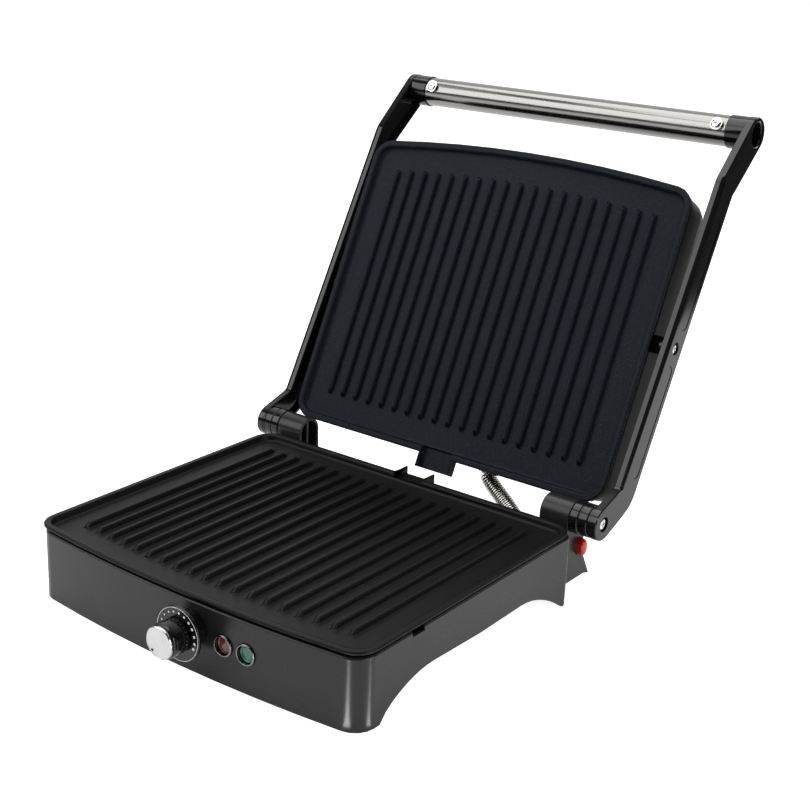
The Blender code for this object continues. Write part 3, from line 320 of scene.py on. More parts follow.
def makeTonedColour():
    # slow drift and fine mottle in a colour
    shape = toneShape
    group, start, end = newGroup(
        "tonedColour", [("Colour", shape["grey"]), ("Drift", plainFinish["drift"]),
                        ("Mottle", plainFinish["mottle"]), ("Scale", plainFinish["driftScale"])],
        [("Colour", "NodeSocketColor")])
    spot = addNode(group, "ShaderNodeTexCoord").outputs["Object"]
    scale = start.outputs["Scale"]
    slow = addNoise(group, spot, scale, shape["slowDetail"])
    fine = addNoise(group, spot, addMath(group, "MULTIPLY", scale, shape["fineScale"]),
                    shape["fineDetail"], shape["fineRoughness"])
    slowShare = addMath(group, "MULTIPLY", spread(group, slow, -1.0, 1.0), start.outputs["Drift"])
    fineShare = addMath(group, "MULTIPLY", spread(group, fine, -1.0, 1.0), start.outputs["Mottle"])
    total = addMath(group, "ADD", addMath(group, "ADD", slowShare, fineShare), 1.0)
    tone = addNode(group, "ShaderNodeVectorMath", operation="SCALE")
    group.links.new(start.outputs["Colour"], tone.inputs[0])
    group.links.new(total, tone.inputs["Scale"])
    group.links.new(tone.outputs["Vector"], end.inputs["Colour"])
    return group


lineShape = {"fineDetail": 3.0, "fineRoughness": 0.7, "fineShare": 0.6, "wideScale": 0.22,
             "wideDetail": 2.0, "wideShare": 0.4,
             "change": 0.12, "smoothest": 0.05, "darkShare": 0.35, "dark": 0.55}


def makeBrushedLines():
    # long fine scratches along X, as a height and as streaks
    shape = lineShape
    group, start, end = newGroup(
        "brushedLines", [("Scale", plainFinish["lines"]), ("Stretch", plainFinish["stretch"])],
        [("Height", "NodeSocketFloat"), ("Streak", "NodeSocketFloat")])
    spot = addNode(group, "ShaderNodeTexCoord").outputs["Object"]
    split = addNode(group, "ShaderNodeSeparateXYZ")
    join = addNode(group, "ShaderNodeCombineXYZ")
    group.links.new(spot, split.inputs[0])
    along = addMath(group, "MULTIPLY", split.outputs[0], start.outputs["Stretch"])
    for index, value in enumerate((along, split.outputs[1], split.outputs[2])):
        group.links.new(value, join.inputs[index])
    scale = start.outputs["Scale"]
    fine = addNoise(group, join.outputs[0], scale, shape["fineDetail"], shape["fineRoughness"])
    wide = addNoise(group, join.outputs[0], addMath(group, "MULTIPLY", scale, shape["wideScale"]),
                    shape["wideDetail"])
    streak = addMath(group, "ADD", addMath(group, "MULTIPLY", fine, shape["fineShare"]),
                     addMath(group, "MULTIPLY", wide, shape["wideShare"]))
    group.links.new(fine, end.inputs["Height"])
    group.links.new(streak, end.inputs["Streak"])
    return group


fleckShape = {"reach": 0.34, "sharpness": 5.0, "chosenOver": 0.5, "peelScale": 0.8, "peelDetail": 3.0,
              "peelRoughness": 0.6}


def makeCoatSpeckle():
    # pale flecks in a sprayed coating, as a mask, with the orange peel as a height
    shape = fleckShape
    group, start, end = newGroup(
        "coatSpeckle", [("Scale", plainFinish["speckle"]), ("Amount", plainFinish["flecks"])],
        [("Mask", "NodeSocketFloat"), ("Height", "NodeSocketFloat")])
    spot = addNode(group, "ShaderNodeTexCoord").outputs["Object"]
    scale = start.outputs["Scale"]
    cells = addNode(group, "ShaderNodeTexVoronoi", feature="F1")
    group.links.new(spot, cells.inputs["Vector"])
    group.links.new(scale, cells.inputs["Scale"])
    near = addMath(group, "SUBTRACT", shape["reach"], cells.outputs["Distance"])
    near = addMath(group, "MULTIPLY", near, shape["sharpness"], clamp=True)
    chosen = addMath(group, "GREATER_THAN", cells.outputs["Color"], shape["chosenOver"])
    mask = addMath(group, "MULTIPLY", addMath(group, "MULTIPLY", near, chosen), start.outputs["Amount"])
    peel = addNoise(group, spot, addMath(group, "MULTIPLY", scale, shape["peelScale"]),
                    shape["peelDetail"], shape["peelRoughness"])
    group.links.new(mask, end.inputs["Mask"])
    group.links.new(peel, end.inputs["Height"])
    return group


mouldGrain = makeMouldGrain()
handledSheen = makeHandledSheen()
tonedColour = makeTonedColour()
brushedLines = makeBrushedLines()
coatSpeckle = makeCoatSpeckle()


def useGroup(tree, group, **values):
    node = addNode(tree, "ShaderNodeGroup", node_tree=group)
    setInputs(node, values)
    return node


def newMaterial(name):
    material = bpy.data.materials.new(name)
    material.use_nodes = True
    return material, material.node_tree, material.node_tree.nodes["Principled BSDF"]


def newFinish(name, changes):
    # every finish: drifting colour, wiped roughness and a fine bump
    look = {**plainFinish, **changes}
    material, tree, shader = newMaterial(name)
    setInputs(shader, {"Metallic": look["metallic"], "Specular IOR Level": look["specular"],
                       "Coat Weight": look["coat"], "Coat Roughness": look["coatRoughness"],
                       "Transmission Weight": look["transmission"], "IOR": look["ior"]})
    toned = useGroup(tree, tonedColour, Colour=(*look["colour"], 1.0), Drift=look["drift"],
                     Mottle=look["mottle"], Scale=look["driftScale"])
    colour = toned.outputs["Colour"]
    sheen = useGroup(tree, handledSheen, Roughness=look["roughness"], Change=look["change"],
                     Scale=look["patchScale"])
    roughness = sheen.outputs["Roughness"]
    if look["lines"]:
        pattern = useGroup(tree, brushedLines, Scale=look["lines"], Stretch=look["stretch"])
        streak = pattern.outputs["Streak"]
        change = spread(tree, streak, -lineShape["change"], lineShape["change"])
        roughness = addMath(tree, "ADD", roughness, change)
        roughness = addMath(tree, "MAXIMUM", roughness, lineShape["smoothest"])
        dark = tuple(part * lineShape["dark"] for part in look["colour"]) + (1.0,)
        colour = mixColours(tree, spread(tree, streak, 0.0, lineShape["darkShare"]), colour, dark)
    elif look["speckle"]:
        pattern = useGroup(tree, coatSpeckle, Scale=look["speckle"], Amount=look["flecks"])
        colour = mixColours(tree, pattern.outputs["Mask"], colour, (*look["fleckColour"], 1.0))
    else:
        pattern = useGroup(tree, mouldGrain, Scale=look["grain"], Pits=look["pits"])
    bump = addNode(tree, "ShaderNodeBump")
    setInputs(bump, {"Strength": look["bump"], "Distance": look["depth"]})
    tree.links.new(pattern.outputs["Height"], bump.inputs["Height"])
    tree.links.new(roughness, shader.inputs["Roughness"])
    tree.links.new(colour, shader.inputs["Base Color"])
    tree.links.new(bump.outputs["Normal"], shader.inputs["Normal"])
    return material


finishLooks = {
    "satinBlack": {"colour": (0.0130, 0.0122, 0.0132), "roughness": 0.27, "change": 0.04, "bump": 0.10,
                   "grain": 3000.0, "drift": 0.10, "mottle": 0.10, "specular": 0.28},
    "deepBlack": {"colour": (0.0030, 0.0030, 0.0033), "roughness": 0.26, "change": 0.04, "bump": 0.04,
                  "grain": 1400.0, "mottle": 0.06, "specular": 0.02},
    "matteBlack": {"colour": (0.014, 0.0135, 0.014), "roughness": 0.58, "change": 0.06, "bump": 0.35,
                   "grain": 2200.0, "mottle": 0.12, "specular": 0.3},
    "glossBlack": {"colour": (0.0035, 0.0034, 0.0037), "roughness": 0.11, "change": 0.04, "bump": 0.03,
                   "grain": 900.0, "mottle": 0.04, "specular": 0.38},
    "nonStick": {"colour": (0.0046, 0.0062, 0.0108), "roughness": 0.46, "change": 0.05, "bump": 0.30,
                 "depth": 0.00012, "speckle": 1150.0, "flecks": 0.6, "fleckColour": (0.05, 0.062, 0.082),
                 "drift": 0.10, "mottle": 0.2, "specular": 0.09},
    # a darker, greyer copy of the upper plate's coating: painted shade on the lower plate
    "shadedLowerNonStick": {"colour": (0.0040, 0.0039, 0.0043), "roughness": 0.42, "change": 0.06,
                      "bump": 0.30,
                      "depth": 0.00012, "speckle": 1150.0, "flecks": 0.22,
                      "fleckColour": (0.03, 0.03, 0.033),
                      "drift": 0.12, "mottle": 0.16, "specular": 0.13},
    "brushedSteel": {"colour": (0.245, 0.240, 0.232), "roughness": 0.18, "metallic": 1.0,
                     "lines": 1500.0,
                     "bump": 0.10, "depth": 0.00005, "drift": 0.05, "mottle": 0.03, "change": 0.03},
    "springSteel": {"colour": (0.80, 0.79, 0.76), "roughness": 0.22, "metallic": 1.0, "bump": 0.08,
                    "grain": 1800.0, "mottle": 0.10},
    "brightPlate": {"colour": (0.74, 0.73, 0.71), "roughness": 0.12, "metallic": 1.0, "bump": 0.05,
                    "grain": 1500.0, "mottle": 0.06, "change": 0.04},
    "spunMetal": {"colour": (0.50, 0.50, 0.50), "roughness": 0.15, "metallic": 1.0, "bump": 0.05,
                  "grain": 2500.0, "mottle": 0.05, "change": 0.03},
    # chrome with painted shade: its colour is darkened to stand in for dark reflections
    "shadePaintedChrome": {"colour": (0.18, 0.18, 0.18), "roughness": 0.10, "metallic": 1.0, "bump": 0.04,
                    "grain": 1500.0, "mottle": 0.05, "change": 0.03},
    "sheetMetal": {"colour": (0.58, 0.58, 0.57), "roughness": 0.35, "metallic": 1.0, "lines": 700.0,
                   "bump": 0.12, "drift": 0.08},
    "heaterSteel": {"colour": (0.20, 0.17, 0.15), "roughness": 0.42, "metallic": 1.0, "bump": 0.2,
                    "grain": 1500.0, "drift": 0.35, "mottle": 0.15},
    "paleCeramic": {"colour": (0.62, 0.58, 0.50), "roughness": 0.6, "bump": 0.25, "grain": 1800.0},
    "rubber": {"colour": (0.016, 0.016, 0.016), "roughness": 0.72, "bump": 0.35, "grain": 1700.0,
               "specular": 0.35, "mottle": 0.14},
    "neonGlass": {"colour": (0.55, 0.40, 0.32), "roughness": 0.15, "bump": 0.05, "transmission": 0.5},
    # white of the dial's print, also used for the painted highlight ring on the dial's edge
    "whitePrintAndHighlight": {"colour": (0.78, 0.78, 0.78), "roughness": 0.5, "bump": 0.1},
    "redButton": {"colour": (0.36, 0.006, 0.004), "roughness": 0.18, "coat": 0.25, "bump": 0.04,
                  "grain": 900.0, "mottle": 0.10, "change": 0.05},
    "redLens": {"colour": (0.105, 0.026, 0.026), "roughness": 0.16, "coat": 0.3, "bump": 0.06,
                "grain": 700.0, "mottle": 0.12},
    "greenLens": {"colour": (0.012, 0.115, 0.070), "roughness": 0.16, "coat": 0.3, "bump": 0.06,
                  "grain": 700.0, "mottle": 0.12},
    # lighter copies of the lens colours, a painted highlight on a ring of each lens face
    "redLensRim": {"colour": (0.17, 0.055, 0.05), "roughness": 0.2, "coat": 0.3, "bump": 0.05},
    "greenLensRim": {"colour": (0.03, 0.21, 0.13), "roughness": 0.2, "coat": 0.3, "bump": 0.05},
}
finishes = {name: newFinish(name, look) for name, look in finishLooks.items()}
print("finishes ready")

nodeFinishes = {
    "matteBlack": ["bottom_cover", "cable_gland", "guard_grommet_base", "guard_grommet_lid"],
    "rubber": ["foot_front_left", "foot_front_right", "foot_rear_left", "foot_rear_right"],
    "glossBlack": ["arm_trim_lower_left", "arm_trim_lower_right", "arm_trim_upper_left",
                   "arm_trim_upper_right"],
    "brightPlate": ["hinge_pin_left", "hinge_pin_right", "thermostat_shaft"],
    "sheetMetal": ["lower_reflector", "upper_reflector"],
    "heaterSteel": ["lower_heater", "upper_heater"],
    "paleCeramic": ["thermostat"],
    "neonGlass": ["lamp_heat", "lamp_ready"],
}
for finishName, nodeNames in nodeFinishes.items():
    for nodeName in nodeNames:
        coverWith(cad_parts[nodeName], finishes[finishName])


# base
baseShape = {"edge": 0.0005, "segments": 3, "bevelAngle": 35, "smoothAngle": 38, "flat": 0.1,
             "sharpUnder": 0.0320, "floorTop": 0.0061, "tipSide": 0.152, "tipSpan": 0.0003,
             "tipFront": -0.2150, "sameLevel": 0.00002, "levelNormal": 0.9}


def trimFloorCorners(shell):
    # the floor's square front corners are drawn back into the rounded skin
    shape = baseShape
    work = bmesh.new()
    work.from_mesh(shell.data)
    tips = [v for v in work.verts if v.co.z < shape["floorTop"] and v.co.y < shape["tipFront"]
            and abs(abs(v.co.x) - shape["tipSide"]) < shape["tipSpan"]]
    lids = {face for tip in tips for face in tip.link_faces
            if abs(face.normal.z) > shape["levelNormal"]}
    bmesh.ops.delete(work, geom=list(lids), context="FACES_ONLY")
    for tip in tips:
        level = [v for v in work.verts if v not in tips and abs(v.co.z - tip.co.z) < shape["sameLevel"]]
        tip.co = min(level, key=lambda v: (v.co - tip.co).length).co
    bmesh.ops.remove_doubles(work, verts=work.verts, dist=meshCare["merge"])
    bmesh.ops.dissolve_limit(work, angle_limit=radians(shape["flat"]), verts=work.verts,
                             edges=work.edges)
    work.to_mesh(shell.data)
    work.free()
    print("floor corners trimmed:", len(tips))


def makeBase():
    shape = baseShape
    shell = copyNode("base_housing", "baseShell", shape["flat"])
    trimFloorCorners(shell)
    bevelEdges(shell, shape["edge"], shape["segments"], shape["bevelAngle"], shape["sharpUnder"])
    smoothShade(shell, shape["smoothAngle"])
    finishPiece(shell, finishes["satinBlack"], "base", "satin_black_plastic", "base_housing")


# plates
plateShape = {"lowerEdge": 0.0008, "upperEdge": 0.00055, "segments": 3, "bevelAngle": 24,
              "smoothAngle": 40}


def makePlates():
    shape = plateShape
    for nodeName, pieceName, finish, body, edge in (
            ("lower_plate", "lowerGriddle", "shadedLowerNonStick", "base", "lowerEdge"),
            ("upper_plate", "upperGriddle", "nonStick", "lid", "upperEdge")):
        plate = copyNode(nodeName, pieceName)
        bevelEdges(plate, shape[edge], shape["segments"], shape["bevelAngle"])
        smoothShade(plate, shape["smoothAngle"])
        finishPiece(plate, finishes[finish], body, "non_stick_aluminium", nodeName)


# lid
lidShape = {"edge": 0.0007, "segments": 3, "frameEdge": 0.0004, "frameSegments": 2, "bevelAngle": 35,
            "smoothAngle": 38}


def makeLid():
    shape = lidShape
    for nodeName, pieceName, edge, segments in (
            ("lid_housing", "lidShell", shape["edge"], shape["segments"]),
            ("lid_frame", "lidSeamFrame", shape["frameEdge"], shape["frameSegments"])):
        piece = copyNode(nodeName, pieceName)
        bevelEdges(piece, edge, segments, shape["bevelAngle"])
        smoothShade(piece, shape["smoothAngle"])
        finishPiece(piece, finishes["deepBlack"], "lid", "gloss_black_plastic", nodeName)


# arms
armShape = {"outer": 0.1702, "thick": 0.0062, "near": 0.0001, "digits": 4, "frontRound": 0.0026,
            "backRound": 0.0010, "turnStart": 0.15, "turnSpan": 0.7, "segments": 4, "sharpAngle": 20,
            "smoothAngle": 40}


def profileSpot(vertex):
    return round(vertex.co.y, armShape["digits"]), round(vertex.co.z, armShape["digits"])


def makeArms():
    shape = armShape
    front, back = shape["frontRound"], shape["backRound"]
    least = radians(shape["sharpAngle"])
    for word, _, _ in sides:
        arm = copyNode("arm_" + word, "arm" + word.title())
        # the outer rim of the profile has its twin on the inner face, the pockets have none
        twins = {profileSpot(v) for v in arm.data.vertices
                 if abs(v.co.x) < shape["outer"] - shape["thick"]}

        def rimShare(edge):
            if len(edge.link_faces) != 2 or edge.calc_face_angle(0) < least:
                return 0.0
            if any(abs(abs(v.co.x) - shape["outer"]) > shape["near"] for v in edge.verts):
                return 0.0
            if any(profileSpot(v) not in twins for v in edge.verts):
                return 0.0
            side = min(edge.link_faces, key=lambda face: abs(face.normal.x))
            share = min(1.0, max(0.0, (-side.normal.y + shape["turnStart"]) / shape["turnSpan"]))
            return (back + (front - back) * share) / front

        weighEdges(arm, rimShare)
        addBevel(arm, front, shape["segments"], "WEIGHT")
        applyAll(arm)
        smoothShade(arm, shape["smoothAngle"])
        finishPiece(arm, finishes["glossBlack"], "arms", "gloss_black_plastic", "arm_" + word)


# hinge collars
collarShape = {"start": 0.1467, "radius": 0.0130, "count": 72, "edge": 0.0002, "segments": 2,
               "bevelAngle": 30, "smoothAngle": 35,
               "steps": ((0.86, 0.0), (0.95, 0.0), (1.0, 0.0006), (1.0, 0.0066), (0.94, 0.0070),
                         (0.94, 0.0078), (0.985, 0.0082), (0.985, 0.0146), (0.95, 0.0152),
                         (0.82, 0.0154))}


def makeCollars():
    shape = collarShape
    _, _, spot = boxOf("hinge_collar_right")
    for word, side, turn in sides:
        collar = turnPiece("hingeCollar" + word.title(), stepped(shape["radius"], 0.0, shape["steps"]),
                           shape["count"])
        place(collar, (side * shape["start"], spot.y, spot.z), turn)
        bevelEdges(collar, shape["edge"], shape["segments"], shape["bevelAngle"])
        smoothShade(collar, shape["smoothAngle"])
        finishPiece(collar, finishes["glossBlack"], "base", "gloss_black_plastic",
                    "hinge_collar_" + word)


# handle
handleShape = {"edge": 0.0004, "segments": 2, "bevelAngle": 50, "smoothAngle": 35, "flat": 0.1}


def makeHandle():
    shape = handleShape
    tube = copyNode("handle_tube", "handleTube", shape["flat"])
    bevelEdges(tube, shape["edge"], shape["segments"], shape["bevelAngle"])
    smoothShade(tube, shape["smoothAngle"])
    finishPiece(tube, finishes["brushedSteel"], "arms", "brushed_tube_steel", "handle_tube")


# screws
screwShape = {"crossWidth": 0.0009, "crossDepth": 0.0011, "smoothAngle": 35}
sideScrewShape = {"radius": 0.0042, "crossArm": 0.62, "count": 40, "shaft": 0.0019, "neck": -0.0020,
                  "head": ((0.97, -0.0018), (1.0, -0.0015), (1.0, -0.0005), (0.86, -0.0001), (0.5, 0.0)),
                  "reach": {"hinge": 0.0100, "pivot": 0.0222}}
handleScrewShape = {"crossArm": 0.0019, "count": 48, "shaft": 0.0018,
                    "head": ((0.0018, -0.0024), (0.0050, -0.0022), (0.0055, -0.0018), (0.0055, -0.0012),
                             (0.0051, -0.0008), (0.0044, -0.0009), (0.0041, -0.0008),
                             (0.0034, -0.0003), (0.0022, 0.0))}


def makeScrew(name, profile, armLength, count):
    screw = turnPiece(name, profile, count)
    height = profile[-1][1]
    deselectAll()
    for turn in (0, 90):
        bpy.ops.mesh.primitive_cube_add(size=1, location=(0, 0, 0))
        slot = bpy.context.active_object
        slot.data.transform(Matrix.Diagonal((armLength * 2, screwShape["crossWidth"],
                                             screwShape["crossDepth"] * 2, 1)))
        slot.data.transform(Matrix.Rotation(radians(turn), 4, "Z"))
        slot.data.transform(Matrix.Translation((0, 0, height)))
        modifier = screw.modifiers.new("cross", "BOOLEAN")
        modifier.object = slot
        modifier.operation = "DIFFERENCE"
        modifier.solver = "EXACT"
        applyAll(screw)
        bpy.data.objects.remove(slot)
    smoothShade(screw, screwShape["smoothAngle"])
    return screw


def makeSideScrews():
    shape = sideScrewShape
    for kind, body in (("hinge", "arms"), ("pivot", "lid")):
        for word, side, turn in sides:
            nodeName = kind + "_screw_" + word
            low, high, middle = boxOf(nodeName)
            outside = high.x if side > 0 else low.x
            profile = [(shape["shaft"], -shape["reach"][kind]), (shape["shaft"], shape["neck"])]
            profile += stepped(shape["radius"], 0.0, shape["head"])
            screw = makeScrew(kind + "Screw" + word.title(), profile,
                              shape["radius"] * shape["crossArm"], shape["count"])
            place(screw, (outside, middle.y, middle.z), turn)
            finishPiece(screw, finishes["brightPlate"], body, "bright_plated", nodeName)


def makeHandleScrews():
    # domed heads with a turned ring, square to the tube's side
    shape = handleScrewShape
    _, _, axis = boxOf("handle_tube")
    for word, _, _ in sides:
        nodeName = "handle_screw_" + word
        low, high, _ = boxOf(nodeName)
        spots = [vertex.co.copy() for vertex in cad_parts[nodeName].data.vertices]
        middle = sum(spots, Vector()) / len(spots)
        out = Vector((0, middle.y - axis.y, middle.z - axis.z)).normalized()
        heights = [(spot - Vector((spot.x, axis.y, axis.z))).dot(out) for spot in spots]
        reach = max(heights)
        profile = [(shape["shaft"], min(heights) - reach), *shape["head"]]
        screw = makeScrew("handleScrew" + word.title(), profile, shape["crossArm"], shape["count"])
        turn = Vector((0, 0, 1)).rotation_difference(out).to_matrix().to_4x4()
        place(screw, Vector(((low.x + high.x) / 2, axis.y, axis.z)) + out * reach, turn)
        finishPiece(screw, finishes["brightPlate"], "arms", "bright_plated", nodeName)


# dial and knob
dialShape = {"edge": 0.00025, "segments": 2, "bevelAngle": 40, "smoothAngle": 35, "flat": 0.1,
             "marks": (-66.6, -49.0, -30.0, -12.0, 6.0, 24.0, 42.0, 59.5, 78.5, 97.0, 112.0),
             "markRing": 0.0160, "markCount": 24, "smallest": 0.0006, "largest": 0.0011,
             "thickness": 0.00006, "sunk": 0.00005, "shoulder": 0.6, "markTop": 0.85,
             # the outline is a painted highlight ring along the dial's edge
             "outline": 0.0192, "outlineWidth": 0.0003, "outlineThickness": 0.00008,
             "outlineCount": 96, "printAndHighlightAngle": 30}


def dialSpot(radius, clock, y):
    _, _, middle = boxOf("dial_plate")
    angle = radians(clock)
    return Vector((middle.x + radius * sin(angle), y, middle.z + radius * cos(angle)))


def makeDialEdgeHighlight():
    # thin pale ring round the marks, a painted highlight of the dial's chamfered edge
    shape = dialShape
    deselectAll()
    bpy.ops.mesh.primitive_circle_add(vertices=shape["outlineCount"], radius=shape["outline"],
                                      fill_type="NOTHING")
    ring = bpy.context.active_object
    bpy.ops.object.mode_set(mode="EDIT")
    bpy.ops.mesh.select_all(action="SELECT")
    bpy.ops.mesh.extrude_region_move()
    share = 1 - shape["outlineWidth"] / shape["outline"]
    bpy.ops.transform.resize(value=(share, share, 1), center_override=(0, 0, 0))
    bpy.ops.object.mode_set(mode="OBJECT")
    modifier = ring.modifiers.new("highlightLayer", "SOLIDIFY")
    modifier.thickness = shape["outlineThickness"]
    modifier.offset = 0
    applyAll(ring)
    return ring


def makeDial():
    shape = dialShape
    front = boxOf("dial_plate")[0].y
    plate = copyNode("dial_plate", "dialFace", shape["flat"])
    bevelEdges(plate, shape["edge"], shape["segments"], shape["bevelAngle"])
    smoothShade(plate, shape["smoothAngle"])
    finishPiece(plate, finishes["glossBlack"], "base", "satin_black_plastic", "dial_plate")
    prints = []
    last = len(shape["marks"]) - 1
    thick = shape["thickness"]
    for index, clock in enumerate(shape["marks"]):  # dots that grow to the hot end
        size = shape["smallest"] + (shape["largest"] - shape["smallest"]) * index / last
        mark = turnPiece("mark", [(size, -shape["sunk"]), (size, thick * shape["shoulder"]),
                                  (size * shape["markTop"], thick)], shape["markCount"])
        place(mark, dialSpot(shape["markRing"], clock, front), toFront)
        prints.append(mark)
    # the ring is a painted highlight, joined with the printed dots and given their white
    ring = makeDialEdgeHighlight()
    place(ring, dialSpot(0, 0, front), toFront)
    marks = joinPieces("dialPrintAndHighlight", prints + [ring])
    smoothShade(marks, shape["printAndHighlightAngle"], False)
    finishPiece(marks, finishes["whitePrintAndHighlight"], "base", "satin_black_plastic")


knobShape = {"body": 0.0126, "count": 96, "smoothAngle": 35, "ring": 0.0031,
             "rear": ((0.93, 0.0), (0.985, 0.0004), (1.0, 0.0012)),
             "seam": ((1.0, -0.0004), (0.975, -0.0001), (0.975, 0.0004), (1.0, 0.0008)),
             "front": ((1.0, -0.0009), (0.975, -0.0003), (0.95, 0.0))}
capShape = {"radius": 0.0118, "count": 128, "smoothAngle": 12, "rear": ((0.96, 0.0), (1.0, 0.0002)),
            "front": ((1.0, -0.0008), (0.985, -0.0003), (0.955, 0.0), (0.93, 0.0)),
            "grooves": 18, "grooveDepth": 0.00008, "grooveStart": 0.915, "grooveSpan": 0.875,
            "sunk": 0.00012}
pointerShape = {"radius": 0.0011, "count": 24, "ring": 0.0090, "clock": 222.0, "inside": 0.0002,
                "steps": ((1.0, -0.0004), (1.0, 0.0001), (0.8, 0.00016))}


def makeKnob():
    low, high, middle = boxOf("knob")
    spot = (middle.x, high.y, middle.z)
    length = high.y - low.y
    radius = knobShape["body"]
    profile = stepped(radius, 0.0, knobShape["rear"])
    profile += stepped(radius, length - knobShape["ring"], knobShape["seam"])
    profile += stepped(radius, length, knobShape["front"])
    body = turnPiece("knobBody", profile, knobShape["count"])
    place(body, spot, toFront)
    smoothShade(body, knobShape["smoothAngle"])
    finishPiece(body, finishes["glossBlack"], "knob", "gloss_black_plastic", "knob")
    makeKnobCap(middle)


def makeKnobCap(middle):
    shape = capShape
    low, high, _ = boxOf("knob_cap")
    depth = high.y - low.y
    radius = shape["radius"]
    profile = stepped(radius, 0.0, shape["rear"]) + stepped(radius, depth, shape["front"])
    halves = 2 * shape["grooves"]
    for index in range(halves + 1):  # turned grooves down to the middle
        out = radius * (shape["grooveStart"] - shape["grooveSpan"] * index / halves)
        profile.append((out, depth - shape["sunk"] - (shape["grooveDepth"] if index % 2 else 0.0)))
    cap = turnPiece("knobCap", profile, shape["count"])
    place(cap, (middle.x, high.y, middle.z), toFront)
    smoothShade(cap, shape["smoothAngle"], False)
    finishPiece(cap, finishes["spunMetal"], "knob", "spun_aluminium", "knob_cap")
    dot = pointerShape
    pointer = turnPiece("knobPointer", stepped(dot["radius"], 0.0, dot["steps"]), dot["count"])
    place(pointer, dialSpot(dot["ring"], dot["clock"], low.y + dot["inside"]), toFront)
    finishPiece(pointer, finishes["matteBlack"], "knob", "matte_black_plastic")


# lamps
lampShape = {"edge": 0.00025, "segments": 3, "bevelAngle": 40, "smoothAngle": 40, "flat": 0.1,
             "count": 64, "rear": ((0.97, 0.0), (1.0, 0.0003)),
             "front": ((1.0, -0.0011), (0.94, -0.0004), (0.80, -0.0002), (0.74, -0.0005),
                       (0.70, -0.0002), (0.45, -0.00005), (0.15, 0.0)),
             "rimFrom": 0.76, "rimTo": 0.95}


def makeLamps():
    shape = lampShape
    for word, lens in (("heat", "redLens"), ("ready", "greenLens")):
        bezel = copyNode("lamp_bezel_" + word, "lampBezel" + word.title(), shape["flat"])
        bevelEdges(bezel, shape["edge"], shape["segments"], shape["bevelAngle"])
        smoothShade(bezel, shape["smoothAngle"])
        finishPiece(bezel, finishes["shadePaintedChrome"], "base", "bright_plated", "lamp_bezel_" + word)
        low, high, middle = boxOf("lamp_lens_" + word)
        radius = (high.x - low.x) / 2
        profile = stepped(radius, 0.0, shape["rear"]) + stepped(radius, high.y - low.y, shape["front"])
        glass = turnPiece("lampLens" + word.title(), profile, shape["count"])
        place(glass, (middle.x, high.y, middle.z), toFront)
        smoothShade(glass, shape["smoothAngle"], False)
        finishPiece(glass, finishes[lens], "base", lens[:-4] + "_lens", "lamp_lens_" + word)
        # a ring of the lens face takes the lighter copy as a painted highlight
        glass.data.materials.append(finishes[lens + "Rim"])
        for face in glass.data.polygons:
            out = Vector((face.center.x - middle.x, 0, face.center.z - middle.z)).length
            if radius * shape["rimFrom"] < out < radius * shape["rimTo"]:
                face.material_index = 1


# button
buttonShape = {"count": 48, "smoothAngle": 60,
               "dome": ((1.0, 0.0), (1.0, 0.80), (0.985, 0.86), (0.94, 0.915), (0.84, 0.96),
                        (0.66, 0.985), (0.40, 0.997), (0.12, 1.0))}


def makeButton():
    # oval cap with a domed face
    low, high, middle = boxOf("release_button")
    size = high - low
    button = turnPiece("releaseButton", buttonShape["dome"], buttonShape["count"])
    button.data.transform(Matrix.Diagonal((size.z / 2, size.y / 2, size.x, 1)))
    place(button, (low.x, middle.y, middle.z), toRight)
    smoothShade(button, buttonShape["smoothAngle"], False)
    finishPiece(button, finishes["redButton"], "button", "red_button", "release_button")


# spring guard
guardShape = {"start": (0.0985, 0.0350, 0.0387), "end": (0.0375, 0.092136, 0.059911),
              "lidOut": (0.0, -0.43051, -0.90259), "lead": 0.003, "baseReach": 0.0267, "lidReach": 0.007,
              "steps": 80, "inset": 0.0008, "outer": 0.0066, "wire": 0.00085, "core": 0.0037,
              "curls": 34, "perCurl": 20, "wireSides": 2, "coreSides": 4}


def guardRoute():
    shape = guardShape
    out = Vector((0, 1, 0))
    lidOut = Vector(shape["lidOut"]).normalized()
    start = Vector(shape["start"])
    end = Vector(shape["end"])
    first = start + out * shape["lead"]
    last = end + lidOut * shape["lead"]
    bends = (first, first + out * shape["baseReach"], last + lidOut * shape["lidReach"], last)
    points = [start]
    for step in range(shape["steps"] + 1):
        share = step / shape["steps"]
        rest = 1 - share
        points.append(bends[0] * rest ** 3 + bends[1] * 3 * rest ** 2 * share
                      + bends[2] * 3 * rest * share ** 2 + bends[3] * share ** 3)
    points.append(end)
    return points


def alongRoute(points, distance):
    for before, after in zip(points, points[1:]):
        step = (after - before).length
        if distance <= step:
            return before + (after - before) * (distance / step), (after - before).normalized()
        distance -= step
    return points[-1], (points[-1] - points[-2]).normalized()


def tubeAlong(name, points, radius, resolution):
    deselectAll()
    curve = bpy.data.curves.new(name, "CURVE")
    curve.dimensions = "3D"
    curve.bevel_depth = radius
    curve.bevel_resolution = resolution
    curve.use_fill_caps = True
    spline = curve.splines.new("POLY")
    spline.points.add(len(points) - 1)
    for spot, point in zip(spline.points, points):
        spot.co = (*point, 1)
    tube = bpy.data.objects.new(name, curve)
    bpy.context.scene.collection.objects.link(tube)
    pick(tube)
    bpy.ops.object.convert(target="MESH")
    tube = bpy.context.active_object
    bpy.ops.object.shade_smooth()
    return tube


